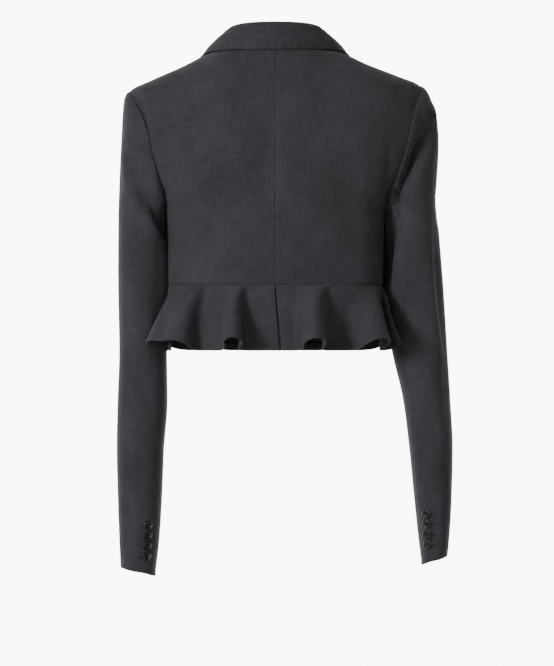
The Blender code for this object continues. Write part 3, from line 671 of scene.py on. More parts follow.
def lapel_grid(side_name):
    """One lapel: from the front's roll line half a circle over, then flat on the front up to its edge."""
    side = SIDES[side_name]
    roll_end, edge_end = LAPEL_ENDS[side_name]
    length = (GORGE_HEIGHT - BREAK) * roll_end
    along = crowded(length, LAPEL_ROWS)
    height = GORGE_HEIGHT - GORGE_GAP - length * along
    inner = np.stack([roll_line(height), height], -1)
    share = (edge_end * along)[:, None]
    low = np.array([-OVERLAP, BREAK])
    outer = ((1 - share) ** 2 * np.array(LAPEL_POINT) + 2 * share * (1 - share) * np.array(LAPEL_BELLY)
             + share**2 * low)
    across = crowded(np.linalg.norm(outer - inner, axis=1), LAPEL_STEPS)[:, len(EDGE_STEPS) - 1:]
    spot = inner[:, None] + (outer - inner)[:, None] * across[..., None]
    gorge = along_corner(inner[0], NOTCH, LAPEL_POINT, across[0]) - spot[0]
    spot = spot + (1 - share[:, None]) ** GORGE_FADE * gorge[None]
    flat = on_front(spot[..., 0], spot[..., 1])
    rise = LAPEL_LIFT + (2 * ROLL_RADIUS - LAPEL_LIFT) * (1 - across) ** 3
    flat = flat + off_torso(flat)[1] * (rise + lap(flat, side))[..., None]

    edge = on_front(inner[:, 0], inner[:, 1])
    out, away = roll_frame(edge)
    edge = edge + out * lap(edge, side)[:, None]
    angle = np.linspace(0, math.pi, ROLL_STEPS, endpoint=False)[None, :, None]
    rolled = (edge[:, None] + away[:, None] * (ROLL_GAP + ROLL_RADIUS * np.sin(angle))
              + out[:, None] * ROLL_RADIUS * (1 - np.cos(angle)))
    return lean(mirrored(np.concatenate([rolled, flat], axis=1), side))


def collar_stand(back, front, to_front):
    """Bottom and top of the collar's stand in each column, the way out of it and the way it rises.

    Behind, it rises from the neck and leans in. Towards its ends it turns, by their share of the way, to run
    on past the fronts' roll lines.
    """
    seam_height = NECK + (GORGE_HEIGHT - NECK) * front
    front_seam = on_front(roll_line(seam_height), seam_height)
    seam = np.concatenate([torso(back, NECK), front_seam])
    level = unit(off_torso(seam)[1] * np.array([1, 1, 0]))
    up = np.array([0, 0, 1]) - level * STAND_LEAN
    front_out, front_away = roll_frame(front_seam)
    out, rise = level.copy(), unit(up)
    out[len(back):] += (front_out - out[len(back):]) * front[:, None]
    rise[len(back):] += (front_away - rise[len(back):]) * front[:, None]
    out, rise = unit(out), unit(rise)
    stand = np.concatenate([STAND_BACK + (STAND_SIDE - STAND_BACK) * back**2,
                            STAND_SIDE + (STAND_FRONT - STAND_SIDE) * front])[:, None]
    bottom = seam - out * STAND_INSIDE * (1 - to_front**2) + rise * ROLL_GAP * to_front
    return bottom, bottom + rise * stand, out, rise


def collar_edge(back, front):
    """The collar's outer edge: round the neck to the side, then straight to its point."""
    edge_height = COLLAR_EDGE_BACK + (COLLAR_EDGE_SIDE - COLLAR_EDGE_BACK) * back**3
    side_edge = torso(1.0, COLLAR_EDGE_SIDE)
    point = on_front(*COLLAR_POINT)
    edge = np.concatenate([torso(back, edge_height), side_edge + (point - side_edge) * front[:, None]])
    return settle(edge, COLLAR_LIFT)


def collar_grid():
    """The collar: straight up the stand, half a circle over the fold, and down the fall to its edge."""
    back = np.linspace(0, 1, COLLAR_BACK_COLUMNS)
    front = crowded(COLLAR_FRONT_LENGTH, COLLAR_FRONT_COLUMNS)[len(EDGE_STEPS):]
    front = (front - front[0]) / (1 - front[0])
    front = front[1:]
    to_front = np.concatenate([0 * back, front])[:, None]
    bottom, top, out, rise = collar_stand(back, front, to_front)
    edge = collar_edge(back, front)

    share = np.linspace(0, 1, STAND_STEPS, endpoint=False)[None, :, None]
    stand_rows = bottom[:, None] + (top - bottom)[:, None] * share
    angle = np.linspace(0, math.pi, ROLL_STEPS + 1)[None, :, None]
    fold_rows = (top[:, None] + out[:, None] * ROLL_RADIUS * (1 - np.cos(angle))
                 + rise[:, None] * ROLL_RADIUS * np.sin(angle))
    start = fold_rows[:, -1:]
    share = crowded(FALL_LENGTH, FALL_STEPS)[len(EDGE_STEPS):]
    fall_rows = start + (edge[:, None] - start) * share[None, :, None]
    fall_rows = fall_rows + out[:, None] * (COLLAR_BELLY * 4 * share * (1 - share))[None, :, None]

    corner = settle(on_front(NOTCH[0] + SEAM, NOTCH[1] + GORGE_GAP), COLLAR_LIFT)
    bend = along_corner(start[-1, 0], corner, edge[-1], share) - fall_rows[-1]
    fall_rows = fall_rows + (to_front**2)[:, :, None] * bend[None]
    fall_rows = settle(fall_rows, COLLAR_CLEAR, only_out=True)
    half = np.concatenate([stand_rows, fold_rows, fall_rows], axis=1)
    return lean(np.concatenate([mirrored(half[:0:-1], RIGHT), half]))


# Sleeves

def sleeve_ring(table, angle, height):
    """Superellipse round a sleeve at a height: angle 0 is its outer side, a quarter turn its back."""
    outer, inner, middle, half_depth = sleeve_sizes(table, height)
    x = (outer + inner) / 2 + (outer - inner) / 2 * squared(np.cos(angle), SLEEVE_SQUARE)
    y = middle + half_depth * squared(np.sin(angle), SLEEVE_SQUARE)
    return np.stack(np.broadcast_arrays(x, y, height), -1)


def seam_allowance(table, angle, height):
    """Angle by which an edge stops short of its seam at each height: a quarter of the seam's gap."""
    run = sleeve_ring(table, angle + TURN_REACH, height) - sleeve_ring(table, angle - TURN_REACH, height)
    return SLEEVE_SEAM / 2 * TURN_REACH / np.linalg.norm(run, axis=-1)


def armhole_points(side_name, angle, front):
    """Points of the body's armhole on the torso form."""
    away, height = armhole(angle, side_name, front)
    points = torso(turn_at_depth(np.abs(away), height, front), height)
    return mirrored(lean(mirrored(points, SIDES[side_name])), SIDES[side_name])


def sleeve_cap(side_name, angle, share):
    """Points of the sleeve head: cubics from the armhole out and down to the sleeve's first full ring."""
    table, head = SLEEVES[side_name], SLEEVE_HEADS[side_name]
    behind = (np.sin(angle) >= 0)[..., None]
    start = np.where(behind, armhole_points(side_name, angle, False), armhole_points(side_name, angle, True))
    upper = (1 + np.cos(angle)) / 2
    clear = HEAD_UNDER_CLEAR + (HEAD_CLEAR - HEAD_UNDER_CLEAR) * ease(upper, *UNDER_TO_UPPER)
    start = start + np.array([1, 0, 0]) * clear[..., None]
    end = sleeve_ring(table, angle, np.full_like(angle, SLEEVE_RING))
    drop = start[..., 2] - SLEEVE_RING
    back = drop * np.sin(angle)
    out = head["out"] * upper**2 + HEAD_UNDER_OUT * (1 - upper)
    start_pull = np.stack([out, HEAD_START_BACK * back, -HEAD_START_DOWN * drop], -1)
    end_pull = np.stack([head["swing"] * upper, -HEAD_END_IN * back, -HEAD_END_DOWN * drop], -1)
    return hermite(start, start_pull, end, end_pull, share[..., None])


def pressed(points):
    """Sleeve points drawn against the side of the body where they hang close to it."""
    distance, out = off_torso(points)
    pull = (distance - PRESS_GAP) * (1 - ease(distance, *PRESS_REACH)) * ease(points[..., 2], *PRESS_LOW)
    below = 1 - ease(points[..., 2], UNDERARM, UNDERARM + PRESS_REACH[1])
    return points - out * (pull * below)[..., None]


def sleeve_form(side_name, angle, cap_share, down):
    """Points of a sleeve's form at each row's angles, the way out of it, and how far over the cuff they lie.

    The head's rows are shares of its cubics. The rest are rings, which tilt more and more towards the cuff.
    """
    table, rows = SLEEVES[side_name], len(cap_share)
    wider = np.concatenate([angle[:, :1] - PAST_SEAM, angle, angle[:, -1:] + PAST_SEAM], 1)
    cap = sleeve_cap(side_name, wider[:rows], np.broadcast_to(cap_share[:, None], (rows, wider.shape[1])))
    cuff = table["height"][0] + CUFF_TILT * np.cos(wider)
    height = SLEEVE_RING + (cuff - SLEEVE_RING) * down
    points = pressed(np.concatenate([cap, sleeve_ring(table, wider, height)[rows:]]))
    out = normals(points)[:, 1:-1]
    points, cuff = points[:, 1:-1], cuff[:, 1:-1]
    away = points - np.stack([0 * angle + (table["outer"].mean() + table["inner"].mean()) / 2,
                              smooth(points[..., 2], table["height"], table["middle"]), points[..., 2]], -1)
    out *= np.sign((out * away).sum())
    return points, out, points[..., 2] - cuff


def sleeve_relief(side_name, points, angle):
    """How deep a sleeve's points are sunk: its creases, which fade out at the armhole, less the head's puff.

    The puff rises beside the armhole's seam and fades: (1 - exp(-distance/rise)) exp(-distance/fade).
    """
    folds = SLEEVE_CREASES[side_name]
    across = {name: np.radians(folds[name]) * SLEEVE_RADIUS for name in folds if name.endswith("across")}
    sunk = creases({**folds, **across}, angle * SLEEVE_RADIUS, points[..., 2])
    around = np.linspace(0, 2 * math.pi, ARMHOLE_SAMPLES)
    from_seam = edge_distance(points, pressed(sleeve_cap(side_name, around, np.zeros_like(around))))
    upper = (1 + np.cos(angle)) / 2
    puff = 1 - np.exp(-from_seam / PUFF_RISE)
    sunk = sunk * ease(from_seam, *FOLD_FADE)
    return sunk - SLEEVE_HEADS[side_name]["puff"] * upper**2 * puff * np.exp(-from_seam / PUFF_FADE)


def sleeve_grid(side_name, from_angle, to_angle, steps):
    """One sleeve panel between two seams, from the armhole to the cuff, sunk by its creases.

    Its seam edges roll in, the vent's edge of the upper panel stands off, the armhole's allowance is tucked
    under the body's edge, and the cuff's hem turns under.
    """
    table = SLEEVES[side_name]
    cap_share = from_edge(SHOULDER_POINT - SLEEVE_RING, CAP_ROWS)[:-1]
    down = np.concatenate([0 * cap_share, np.linspace(0, 1, SLEEVE_ROWS)])[:, None]
    level = SLEEVE_RING + (table["height"][0] - SLEEVE_RING) * down[:, 0]
    first = math.radians(from_angle) + seam_allowance(table, math.radians(from_angle), level)
    last = math.radians(to_angle) - seam_allowance(table, math.radians(to_angle), level)
    angle = first[:, None] + (last - first)[:, None] * crowded((last - first) * SLEEVE_RADIUS, steps)
    points, out, over_cuff = sleeve_form(side_name, angle, cap_share, down)
    sunk = sleeve_relief(side_name, points, angle)
    if to_angle == HIND_SEAM:
        near_cuff = 1 - ease(over_cuff, VENT_LENGTH - VENT_SOFT, VENT_LENGTH + VENT_SOFT)
        from_vent = (last[:, None] - angle) * SLEEVE_RADIUS
        sunk = sunk - VENT_LIFT * near_cuff * (1 - ease(from_vent, VENT_FLAT, VENT_WIDTH))
    grid = points + out * (WALL / 2 - sunk)[..., None]
    grid = roll_in(grid, out, edges_of(grid, "low first last"), free_of_sleeve(points))
    under = unit(unit(points[0] - points[len(EDGE_STEPS) - 1]) - np.array([ALLOWANCE_LEAN, 0, 0]))
    tucked = [points[0] + under * reach + out[0] * (WALL / 2 - deep) for reach, deep in ALLOWANCE]
    return finished(grid, out, tucked, CUFF_HEM, SIDES[side_name])


# Peplum

def flute_section(ratio, steep):
    """A flute across its width: along it and out of it, from the cloth's heading.

    On the first wall the heading is half a sine up to the steep angle, and on the second half a sine down to
    the angle that brings the cloth back to the seam's line: a wall rises by its share of the cloth times the
    mean sine of its heading. The first wall's share makes the flute ratio times as deep as it is wide.
    """
    run = np.linspace(0, 1, FLUTE_SAMPLES)
    half_sine = np.sin(math.pi * run)
    angles = np.linspace(0, STEEPEST_BACK, WALL_SAMPLES)
    rises = np.sin(angles[:, None] * half_sine).mean(1)

    def section(wall):
        back = np.interp(wall / (1 - wall) * np.sin(steep * half_sine).mean(), rises, angles)
        first, second = np.clip(run / wall, 0, 1), np.clip((run - wall) / (1 - wall), 0, 1)
        heading = steep * np.sin(math.pi * first) - back * np.sin(math.pi * second)
        middle = (heading[1:] + heading[:-1]) / 2
        along = np.concatenate([[0], np.cumsum(np.cos(middle))])
        out = np.concatenate([[0], np.cumsum(np.sin(middle))])
        return along / along[-1], (out - out[-1] * run) / along[-1]

    walls = np.linspace(THINNEST_WALL, EVEN_WALL, WALL_SAMPLES)
    depths = [section(wall)[1].max() for wall in walls]
    return run, *section(np.interp(ratio, depths, walls))


def peplum_ring():
    """The peplum seam from centre back past centre front: turn, place along it, point and way out."""
    past_front = 2 + turn_at_width(OVERLAP, PEPLUM_SEAM)
    turn = np.linspace(turn_at_width(SEAM / 4, PEPLUM_SEAM), past_front, RING_SAMPLES)
    points = torso(turn, PEPLUM_SEAM)
    return turn, run_along(points), points, unit(off_torso(points)[1] * np.array([1, 1, 0]))


def flute_steps(flutes, first, last):
    """Columns of a peplum piece: where each starts, its flute or -1, and its share across the flute."""

    def flat_steps(start, end):
        count = math.ceil((end - start) / FLAT_STEP)
        return [(start + (end - start) * k / count, -1, 0.0) for k in range(count)]

    steps = [(first + near, -1, 0.0) for near in EDGE_STEPS[:-1]]
    at = first + EDGE_STEPS[-1]
    for number, (middle, width) in enumerate(zip(flutes["place"], flutes["width"])):
        low, high = middle - width / 2, middle + width / 2
        if high < first or low > last:
            continue
        steps += flat_steps(at, low)
        steps += [(low, number, k / FLUTE_STEPS) for k in range(FLUTE_STEPS)]
        at = high
    steps += flat_steps(at, last - EDGE_STEPS[-1])
    steps += [(last - near, -1, 0.0) for near in EDGE_STEPS[::-1]]
    start, number, share = zip(*steps)
    return np.array(start), np.array(number), np.array(share)


def fluted(flutes, steps, flare):
    """Place of each column along the seam, and how far it stands out, with the flutes flared so far."""
    start, number, share = steps
    place, stands_out = start.copy(), np.zeros(len(start))
    for flute, (width, reach, steep) in enumerate(zip(flutes["width"], flutes["reach"], flutes["steep"])):
        here = number == flute
        wall = math.radians(abs(steep)) * flare**STEEP_START
        run, along, out = flute_section(reach * flare**FLUTE_START / width, wall)
        if steep < 0:
            along, out = 1 - along[::-1], out[::-1]
        place[here] += width * np.interp(share[here], run, along)
        stands_out[here] = width * np.interp(share[here], run, out)
    return place, stands_out


def peplum_form(side_name, front):
    """Points of a peplum piece, and the way out of it: it swells into flutes that stand out most at the hem.

    A row's points lie on the seam's ring, moved out by the flutes. Cloth of the same length hangs less far
    down where it stands out: the root of length^2 - out^2.
    """
    side, flutes = SIDES[side_name], FLUTES[side_name]
    turn, ring_place, ring, ring_out = peplum_ring()
    side_seam = np.interp(1.0, turn, ring_place)
    first, last = (side_seam + SEAM / 4, ring_place[-1]) if front else (SPLIT_GAP, side_seam - SEAM / 4)
    steps = flute_steps(flutes, first, last)
    number = steps[1]
    fan = np.where(number < 0, 1.0, flutes["fan"][number])[:, None]
    sweep = np.radians(np.where(number < 0, 0.0, flutes["sweep"][number]))

    def at(values, place):
        return np.stack([np.interp(place, ring_place, values[:, i]) for i in range(2)], -1)

    rows = []
    for fall in from_edge(PEPLUM_LENGTH, PEPLUM_ROWS):
        flare = max(fall - SEAM_TURN, 0) / (1 - SEAM_TURN)
        place, stands_out = fluted(flutes, steps, flare)
        swell = np.cos(np.clip((place - SWELL_PLACE) / SWELL_HALF, -1, 1) * math.pi / 2) ** 2
        stands_out = stands_out + SIDE_SWELL[side_name] * flare * swell
        root, flat_out = at(ring, place), at(ring_out, place)
        out = unit(flat_out * fan + at(ring_out, flutes["place"][number]) * (1 - fan))
        out = np.stack([out[:, 0] * np.cos(sweep) - out[:, 1] * np.sin(sweep),
                        out[:, 0] * np.sin(sweep) + out[:, 1] * np.cos(sweep)], -1)
        free = ease(np.abs(root[:, 1]), *BESIDE_SLEEVE)
        flat_flare = (SIDE_FLARE + (PEPLUM_FLARE - SIDE_FLARE) * free) * flare
        length = PEPLUM_LENGTH * fall
        leans_out = np.minimum(stands_out + flat_flare, length * STEEPEST)
        hangs = np.sqrt(np.maximum(length**2 - leans_out**2, 0))
        spot = root + out * stands_out[:, None] + flat_out * flat_flare[:, None]
        if front:
            spot[:, 1] -= lap(np.stack([spot[:, 0], spot[:, 1], 0 * hangs + BREAK], -1), side)
        else:
            closed = (SPLIT_GAP - SEAM / 4) * (1 - ease(length, *SPLIT_TOP))
            spot[:, 0] -= (side * SPLIT_SWAY * fall + closed) * (1 - ease(root[:, 0], 0, SPLIT_SWAY_WIDTH))
        rows.append(np.stack([spot[:, 0], spot[:, 1], PEPLUM_SEAM - SEAM / 2 - hangs], -1))
    points = np.array(rows)
    out = normals(points)
    middle = points.shape[1] // 2
    out *= np.sign((out[0, middle] * np.append(at(ring_out, steps[0][middle:middle + 1])[0], 0)).sum())
    return points, out


def peplum_grid(side_name, front):
    """One peplum piece, hung from the seam: its allowance turns up inside the body, its seam edges roll in,
    the split at the centre back opens below the seam, and its hem turns under."""
    side = SIDES[side_name]
    points, out = peplum_form(side_name, front)
    grid = points + out * PEPLUM_WALL / 2
    free = ease(np.abs(points[..., 1]), *PRESSED_DEPTH)
    grid = roll_in(grid, out, edges_of(grid, "low first last"), free)
    if not front:
        open_below = ease(PEPLUM_SEAM - grid[..., 2], *SPLIT_TOP)
        grid = roll_in(grid, out, edges_of(grid, "first"), open_below, SPLIT_ROLL)
    # The right front has no allowance, because it would cut into the left front, which it laps over
    allowance = () if front and side == RIGHT else WAIST_ALLOWANCE
    tucked = [points[0] + np.array([0, 0, reach]) - out[0] * deep for reach, deep in allowance]
    return finished(grid, out, tucked, PEPLUM_HEM, side)


# Materials

def linear(code):
    """An sRGB hex colour as linear red, green, blue and alpha."""
    parts = [int(code[i:i + 2], 16) / 255 for i in (0, 2, 4)]
    return [p / 12.92 if p <= 0.04045 else ((p + 0.055) / 1.055) ** 2.4 for p in parts] + [1.0]


def node(tree, kind, links=(), **settings):
    """Adds a node: sets its attributes, and gives the other settings and the links to its sockets."""
    made = tree.nodes.new(kind)
    sockets = {}
    for name, value in settings.items():
        if hasattr(made, name):
            setattr(made, name, value)
        else:
            sockets[name] = value
    for name, value in sockets.items():
        made.inputs[name.replace("_", " ")].default_value = value
    for name, source in dict(links).items():
        tree.links.new(source, made.inputs[name])
    return made


def new_material(name, finish):
    """A material, its tree and its Principled shader, which has the finish's constants on its sockets."""
    material = bpy.data.materials.new(name)
    material.use_nodes = True
    shader = material.node_tree.nodes["Principled BSDF"]
    for socket, value in finish.items():
        shader.inputs[socket].default_value = value
    return material, material.node_tree, shader


def charcoal_worsted():
    """Worsted wool suiting, woven from dyed-in-the-wool yarns: dry and matt, mottled along both threads,
    with a soft sheen at grazing angles from its short nap."""
    finish = {"Roughness": 0.86, "Specular IOR Level": 0.25, "Sheen Weight": 0.12, "Sheen Roughness": 0.5,
              "Sheen Tint": linear("c9c9d2")}
    material, tree, shader = new_material("charcoal_worsted_wool", finish)
    cloth = node(tree, "ShaderNodeUVMap", uv_map="cloth").outputs["UV"]

    def mottle(across_mm, along_mm, detail):
        scaled = node(tree, "ShaderNodeMapping", {"Vector": cloth}, vector_type="POINT",
                      Scale=(1000 / across_mm, 1000 / along_mm, 1))
        made = node(tree, "ShaderNodeTexNoise", {"Vector": scaled.outputs["Vector"]}, Scale=1.0,
                    Detail=detail, Roughness=0.6)
        return made.outputs["Fac"]

    # Real yarns are about 0.4 mm apart, too fine to show, so these are drawn about three times as coarse
    warp = mottle(1.3, 26.0, 2.0)
    weft = mottle(22.0, 1.3, 2.0)
    fleck = mottle(1.2, 1.2, 3.0)
    cloud = mottle(70.0, 90.0, 2.0)
    threads = node(tree, "ShaderNodeMath", {0: warp, 1: weft}, operation="ADD").outputs[0]
    flecked = node(tree, "ShaderNodeMath", {0: threads, 1: fleck}, operation="ADD").outputs[0]
    whole = node(tree, "ShaderNodeMath", {0: flecked, 1: cloud}, operation="ADD").outputs[0]
    spread = node(tree, "ShaderNodeMapRange", {"Value": whole}, From_Min=1.45, From_Max=2.55)
    ramp = node(tree, "ShaderNodeValToRGB", {"Fac": spread.outputs["Result"]})
    ramp.color_ramp.elements[0].color = linear("2a292c")
    ramp.color_ramp.elements[1].color = linear("454349")
    tree.links.new(ramp.outputs["Color"], shader.inputs["Base Color"])
    bump = node(tree, "ShaderNodeBump", {"Height": flecked}, Strength=0.35, Distance=0.0004)
    tree.links.new(bump.outputs["Normal"], shader.inputs["Normal"])
    return material


def clouded(name, cloud_mm, detail, dark, light, finish):
    """A material that wanders between two tones, in clouds so many millimetres wide."""
    material, tree, shader = new_material(name, finish)
    place = node(tree, "ShaderNodeTexCoord").outputs["Object"]
    cloud = node(tree, "ShaderNodeTexNoise", {"Vector": place}, Scale=1000 / cloud_mm, Detail=detail)
    ramp = node(tree, "ShaderNodeValToRGB", {"Fac": cloud.outputs["Fac"]})
    ramp.color_ramp.elements[0].color = linear(dark)
    ramp.color_ramp.elements[1].color = linear(light)
    tree.links.new(ramp.outputs["Color"], shader.inputs["Base Color"])
    return material


def black_horn():
    """Polished dark horn, turned: nearly black, glossy, with faint clouds."""
    return clouded("black_polished_horn", 3.85, 3.0, "141413", "262524", {"Roughness": 0.22, "IOR": 1.54})


def black_thread():
    """Spun sewing thread: matt black, and uneven at every turn of its twist."""
    return clouded("black_spun_thread", 0.455, 1.0, "1c1c1e", "323236", {"Roughness": 0.7})


def pale_floor():
    """Matt painted studio floor: pale and even, with the faintest mottle."""
    return clouded("pale_matt_paint", 1430.0, 2.0, "d6d6d6", "d9d9d9", {"Roughness": 0.9})


# Buttons

BUTTON_OUTLINE = columns(
    "radius height",
    (0.0, 0.6), (0.3, 0.6), (0.56, 0.63), (0.66, 0.8), (0.74, 0.97), (0.82, 1.0), (0.9, 0.94), (0.97, 0.78),
    (1.0, 0.58), (0.99, 0.36), (0.94, 0.14), (0.86, 0.03), (0.75, 0.0), (0.0, 0.0),
)
BUTTON_SIDES = 56
BUTTON_FACE_ROWS, BUTTON_RIM_ROWS = 22, 30
FACE_STOP = 2.0      # the outline's row where the flat face ends
HOLE_PLACE, HOLE_RADIUS, HOLE_DEPTH, HOLE_SOFT = 0.26, 0.125, 0.5, 0.05
THREAD_RADIUS, THREAD_SIDES = 0.34, 8
ASKEW = np.array([0.3, 0.5, 0.7])     # keeps a thread's cross direction off its heading
STITCH_SAMPLES, STITCH_SINK, STITCH_RISE = 13, 0.9, 1.45
BUTTONHOLE_LENGTH, BUTTONHOLE_WIDTH = 15.0, 1.5
BUTTONHOLE_THREAD, BUTTONHOLE_SAMPLES = 0.5, 73
BUTTONHOLE_STRAIGHT = 3      # how sharply its long sides turn into its ends
BUTTONHOLE_BACK = 3.0        # how far it starts behind the button's middle


def frame_at(facing):
    """Two directions across a face, level and upwards, beside the direction that it faces."""
    level = unit(np.cross([0.0, 0.0, 1.0], facing))
    return level, np.cross(facing, level)


def hole_places(radius):
    """Middles of a button's four holes, across and up its face."""
    return np.array([(1, 1), (-1, 1), (-1, -1), (1, -1)]) * HOLE_PLACE * radius / math.sqrt(2)


def button_grid(at, facing, diameter, thickness):
    """A turned button: its outline carried round an axis, and four holes sunk in its face by a soft step."""
    radius = diameter / 2
    stops = np.arange(len(BUTTON_OUTLINE["radius"]), dtype=float)
    step = np.concatenate([np.linspace(0, FACE_STOP, BUTTON_FACE_ROWS, endpoint=False),
                           np.linspace(FACE_STOP, stops[-1], BUTTON_RIM_ROWS)])
    r = smooth(step, stops, BUTTON_OUTLINE["radius"])[:, None] * radius
    z = smooth(step, stops, BUTTON_OUTLINE["height"])[:, None] * thickness
    angle = np.linspace(0, 2 * math.pi, BUTTON_SIDES + 1)
    x, y = r * np.cos(angle), r * np.sin(angle)
    z = z + 0 * angle
    for hole_x, hole_y in hole_places(radius):
        away = np.hypot(x - hole_x, y - hole_y) / radius
        sunk = 1 - ease(away, HOLE_RADIUS - HOLE_SOFT, HOLE_RADIUS + HOLE_SOFT)
        z = z - np.where(step[:, None] < FACE_STOP + 1, sunk, 0) * HOLE_DEPTH * thickness
    level, up = frame_at(facing)
    return at + x[..., None] * level + y[..., None] * up + z[..., None] * facing


def tube(path, radius):
    """A round thread along a path: circles across its heading."""
    heading = unit(np.gradient(path, axis=0))
    side = unit(np.cross(heading, np.roll(heading, 1, axis=1) + ASKEW))
    across = np.cross(heading, side)
    angle = np.linspace(0, 2 * math.pi, THREAD_SIDES + 1)[None, :, None]
    return path[:, None] + radius * (np.cos(angle) * side[:, None] + np.sin(angle) * across[:, None])


def button_stitches(at, facing, diameter, thickness):
    """Two stitches, each an arch from one hole over the face to the next."""
    level, up = frame_at(facing)
    holes = hole_places(diameter / 2)
    share = np.linspace(0, 1, STITCH_SAMPLES)[:, None]
    face = BUTTON_OUTLINE["height"][0] * thickness
    arches = []
    for first, last in ((holes[1], holes[0]), (holes[2], holes[3])):
        flat = first + (last - first) * share
        high = face - STITCH_SINK + STITCH_RISE * np.sin(math.pi * share) ** 0.5
        arches.append(tube(at + flat[:, :1] * level + flat[:, 1:] * up + high * facing, THREAD_RADIUS))
    return arches


def buttonhole(at, facing, towards, length):
    """A worked buttonhole: a closed loop of thread, straight sides with round ends, lying on the cloth."""
    across = np.cross(facing, towards)
    angle = np.linspace(0, 2 * math.pi, BUTTONHOLE_SAMPLES)
    x = np.clip(np.cos(angle) * BUTTONHOLE_STRAIGHT, -1, 1) * length / 2
    y = np.sin(angle).clip(-0.5, 0.5) * BUTTONHOLE_WIDTH
    path = at + (x + length / 2 - BUTTONHOLE_BACK)[:, None] * towards + y[:, None] * across
    return tube(path, BUTTONHOLE_THREAD)


def cuff_places(side_name):
    """Middle of the back of each cuff button, the way it faces, and the way its buttonhole runs."""
    side, table = SIDES[side_name], SLEEVES[side_name]
    angle = math.radians(CUFF_BUTTON_ANGLE)
    lowest = table["height"][0] + CUFF_TILT * math.cos(angle) + CUFF_BUTTON_RISE
    places = []
    for number in range(CUFF_BUTTONS):
        level = lowest + number * CUFF_BUTTON_PITCH
        point = sleeve_ring(table, angle, level)
        around = sleeve_ring(table, angle + TURN_REACH, level) - point
        up = sleeve_ring(table, angle, level + LEVEL_REACH) - point
        facing = unit(np.cross(up, around))
        facing = facing * np.sign(facing[1])
        point, facing, around = (mirrored(p, side) for p in (point, facing, unit(around)))
        places.append((point + facing * (WALL / 2 + SEAM), facing, -around))
    return places


def front_place():
    """Middle of the front button's back, the way it faces, and the way its buttonhole runs."""
    at = on_front(0.0, FRONT_BUTTON_HEIGHT)
    facing = off_torso(at)[1]
    return at + facing * (lap(at, RIGHT) + WALL / 2 + SEAM), facing, np.array([-1.0, 0.0, 0.0])


def add_button(node_name, place, diameter, thickness, horn):
    """A button in place of its solid."""
    at, facing = place[:2]
    piece = mesh_piece(f"{node_name}_horn", [button_grid(at, facing, diameter, thickness)], horn)
    close_up(piece)
    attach(piece, "root")
    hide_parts(node_name)


def add_sewing(name, places, diameter, thickness, thread):
    """Stitches in the buttons' holes and the worked buttonholes under them, as one piece."""
    grids = []
    for at, facing, towards in places:
        grids += button_stitches(at, facing, diameter, thickness)
        length = BUTTONHOLE_LENGTH * diameter / CUFF_BUTTON
        grids.append(buttonhole(at - facing * SEAM / 2, facing, towards, length))
    piece = mesh_piece(name, grids, thread)
    close_up(piece)
    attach(piece, "root")


# The jacket

def build_jacket():
    """Sews every panel, then puts on the buttons."""
    wool, horn, thread = charcoal_worsted(), black_horn(), black_thread()
    grid = collar_grid()
    sew("collar", grid, cloth_map(grid), wool)
    for name in SIDES:
        grid = body_grid(name, front=False)
        sew(f"back_{name}", grid, cloth_map(grid), wool)
        grid = body_grid(name, front=True)
        sew(f"front_{name}", grid, cloth_map(grid, -1, -roll_line(grid[:, -1:, 2])), wool)
        grid = lapel_grid(name)
        sew(f"lapel_{name}", grid, cloth_map(grid), wool)
        sleeve_x = SIDES[name] * (SLEEVES[name]["outer"] + SLEEVES[name]["inner"]).mean() / 2
        grid = sleeve_grid(name, FORE_SEAM - 360, HIND_SEAM, UPPER_STEPS)
        sew(f"sleeve_upper_{name}", grid, sleeve_map(grid, name), wool, sleeve_x,
            nodes=[f"sleeve_upper_{name}_{stretch}" for stretch in ("head", "arm", "forearm")])
        grid = sleeve_grid(name, HIND_SEAM, FORE_SEAM, UNDER_STEPS)
        sew(f"sleeve_under_{name}", grid, sleeve_map(grid, name), wool, sleeve_x)
        for place, front in (("back", False), ("front", True)):
            grid = peplum_grid(name, front)
            sew(f"peplum_{place}_{name}", grid, cloth_map(grid, grid.shape[1] // 2), wool)
        places = cuff_places(name)
        for number, place in enumerate(places, 1):
            add_button(f"cuff_button_{name}_{number}", place, CUFF_BUTTON, CUFF_BUTTON_THICK, horn)
        add_sewing(f"cuff_sewing_{name}", places, CUFF_BUTTON, CUFF_BUTTON_THICK, thread)
    add_button("front_button", front_place(), FRONT_BUTTON, FRONT_BUTTON_THICK, horn)
    add_sewing("front_sewing", [front_place()], FRONT_BUTTON, FRONT_BUTTON_THICK, thread)


# Studio

FLOOR_DROP = 1450.0
FLOOR_FLAT, FLOOR_BEND, FLOOR_RISE = 13000.0, 3000.0, 2000.0
FLOOR_RINGS, FLOOR_BENDS, FLOOR_SIDES = 12, 16, 96
PHOTO_WIDTH, PHOTO_HEIGHT = 554, 666
PHOTO_SCALE = 1.4
PHOTO_ORIGIN = (275.0, 50.0)
CAMERA_DISTANCE = 12000.0
PHOTO_PLANE = 50.0     # how far behind the shoulder seam lies the plane that the photo's scale is read in
SENSOR = 36.0
CAMERA_END = 60.0
SKY_STRENGTH = 0.44
JACKET_MIDDLE, FAR_WALL = (0.0, 0.0, -0.35), (0.0, -16.0, -0.4)
# Each lamp's place, aim and width in metres, its power in watts and its spread in degrees. The keys are
# narrow, so that little of their light comes back up from the floor.
LIGHTS = {
    "key_left": ((3.8, 4.53, 0.7), JACKET_MIDDLE, 1.6, 6.4, 20),
    "key_high": ((1.78, 4.88, 2.65), JACKET_MIDDLE, 1.6, 0.6, 20),
    "front_fill": ((2.6, -3.4, 2.0), JACKET_MIDDLE, 2.2, 2.0, 40),
    "backdrop": ((0.0, -8.0, 5.0), FAR_WALL, 6.0, 10500.0, 180),
}


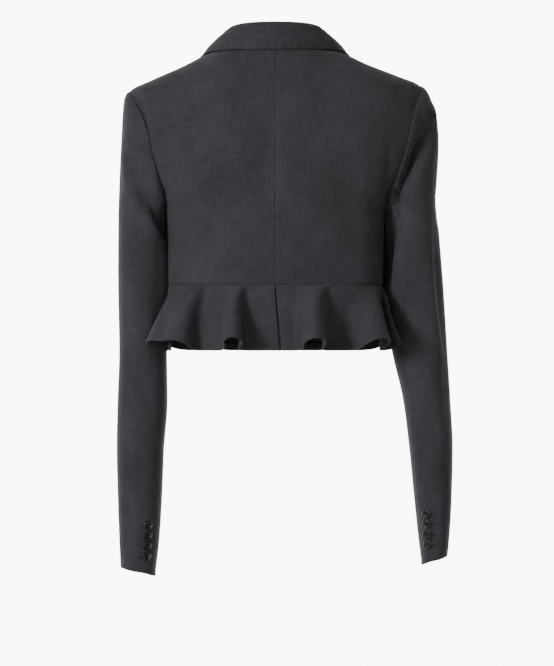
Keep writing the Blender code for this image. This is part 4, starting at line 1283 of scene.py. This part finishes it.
def build_floor():
    """A pale floor with a rim all round: a profile of a flat, a quarter circle and a rise, turned."""
    flat = np.linspace(0, FLOOR_FLAT, FLOOR_RINGS, endpoint=False)
    bend = np.linspace(0, math.pi / 2, FLOOR_BENDS)
    radius = np.concatenate([flat, FLOOR_FLAT + FLOOR_BEND * np.sin(bend)])
    height = np.concatenate([0 * flat, FLOOR_BEND * (1 - np.cos(bend))])
    radius = np.append(radius, radius[-1])
    height = np.append(height, height[-1] + FLOOR_RISE)
    angle = np.linspace(0, 2 * math.pi, FLOOR_SIDES + 1)
    grid = np.stack([radius[:, None] * np.cos(angle), radius[:, None] * np.sin(angle),
                     height[:, None] - FLOOR_DROP + 0 * angle], -1)
    mesh_piece("studio_floor", [grid[:, ::-1]], pale_floor())


def add_light(name, at, aim, size, power, spread):
    """A soft square light that faces the point it is aimed at, and spreads so many degrees."""
    lamp = bpy.data.lights.new(name, "AREA")
    lamp.shape = "SQUARE"
    lamp.size = size
    lamp.energy = power
    lamp.spread = math.radians(spread)
    holder = bpy.data.objects.new(name, lamp)
    holder.location = at
    holder.rotation_euler = direction(at, aim)
    bpy.context.scene.collection.objects.link(holder)


def direction(at, aim):
    """Turns of a lamp or camera at one point so that it faces another."""
    x, y, z = np.array(aim) - np.array(at)
    return (math.atan2(math.hypot(x, y), -z), 0.0, math.atan2(y, x) - math.pi / 2)


def build_studio():
    """Two keys from behind on the jacket's left, a fill in front, a lamp for the far wall and a pale sky."""
    build_floor()
    world = bpy.data.worlds.new("pale_studio")
    world.use_nodes = True
    sky = world.node_tree.nodes["Background"]
    sky.inputs["Color"].default_value = linear("f4f5f7")
    sky.inputs["Strength"].default_value = SKY_STRENGTH
    bpy.context.scene.world = world
    for name, settings in LIGHTS.items():
        add_light(name, *settings)
    add_camera()


def add_camera():
    """A level camera far behind the jacket, which has it at the photo's scale and in the photo's place."""
    camera = bpy.data.cameras.new("photo_camera")
    camera.sensor_fit = "VERTICAL"
    camera.sensor_height = SENSOR
    camera.lens = SENSOR * (CAMERA_DISTANCE - PHOTO_PLANE) / (PHOTO_HEIGHT * PHOTO_SCALE)
    camera.clip_end = CAMERA_END
    holder = bpy.data.objects.new("photo_camera", camera)
    x = (PHOTO_ORIGIN[0] - PHOTO_WIDTH / 2) * PHOTO_SCALE
    z = (PHOTO_ORIGIN[1] - PHOTO_HEIGHT / 2) * PHOTO_SCALE
    holder.location = (x * MM, CAMERA_DISTANCE * MM, z * MM)
    holder.rotation_euler = (math.pi / 2, 0.0, math.pi)
    bpy.context.scene.collection.objects.link(holder)
    bpy.context.scene.camera = holder


build_jacket()
build_studio()
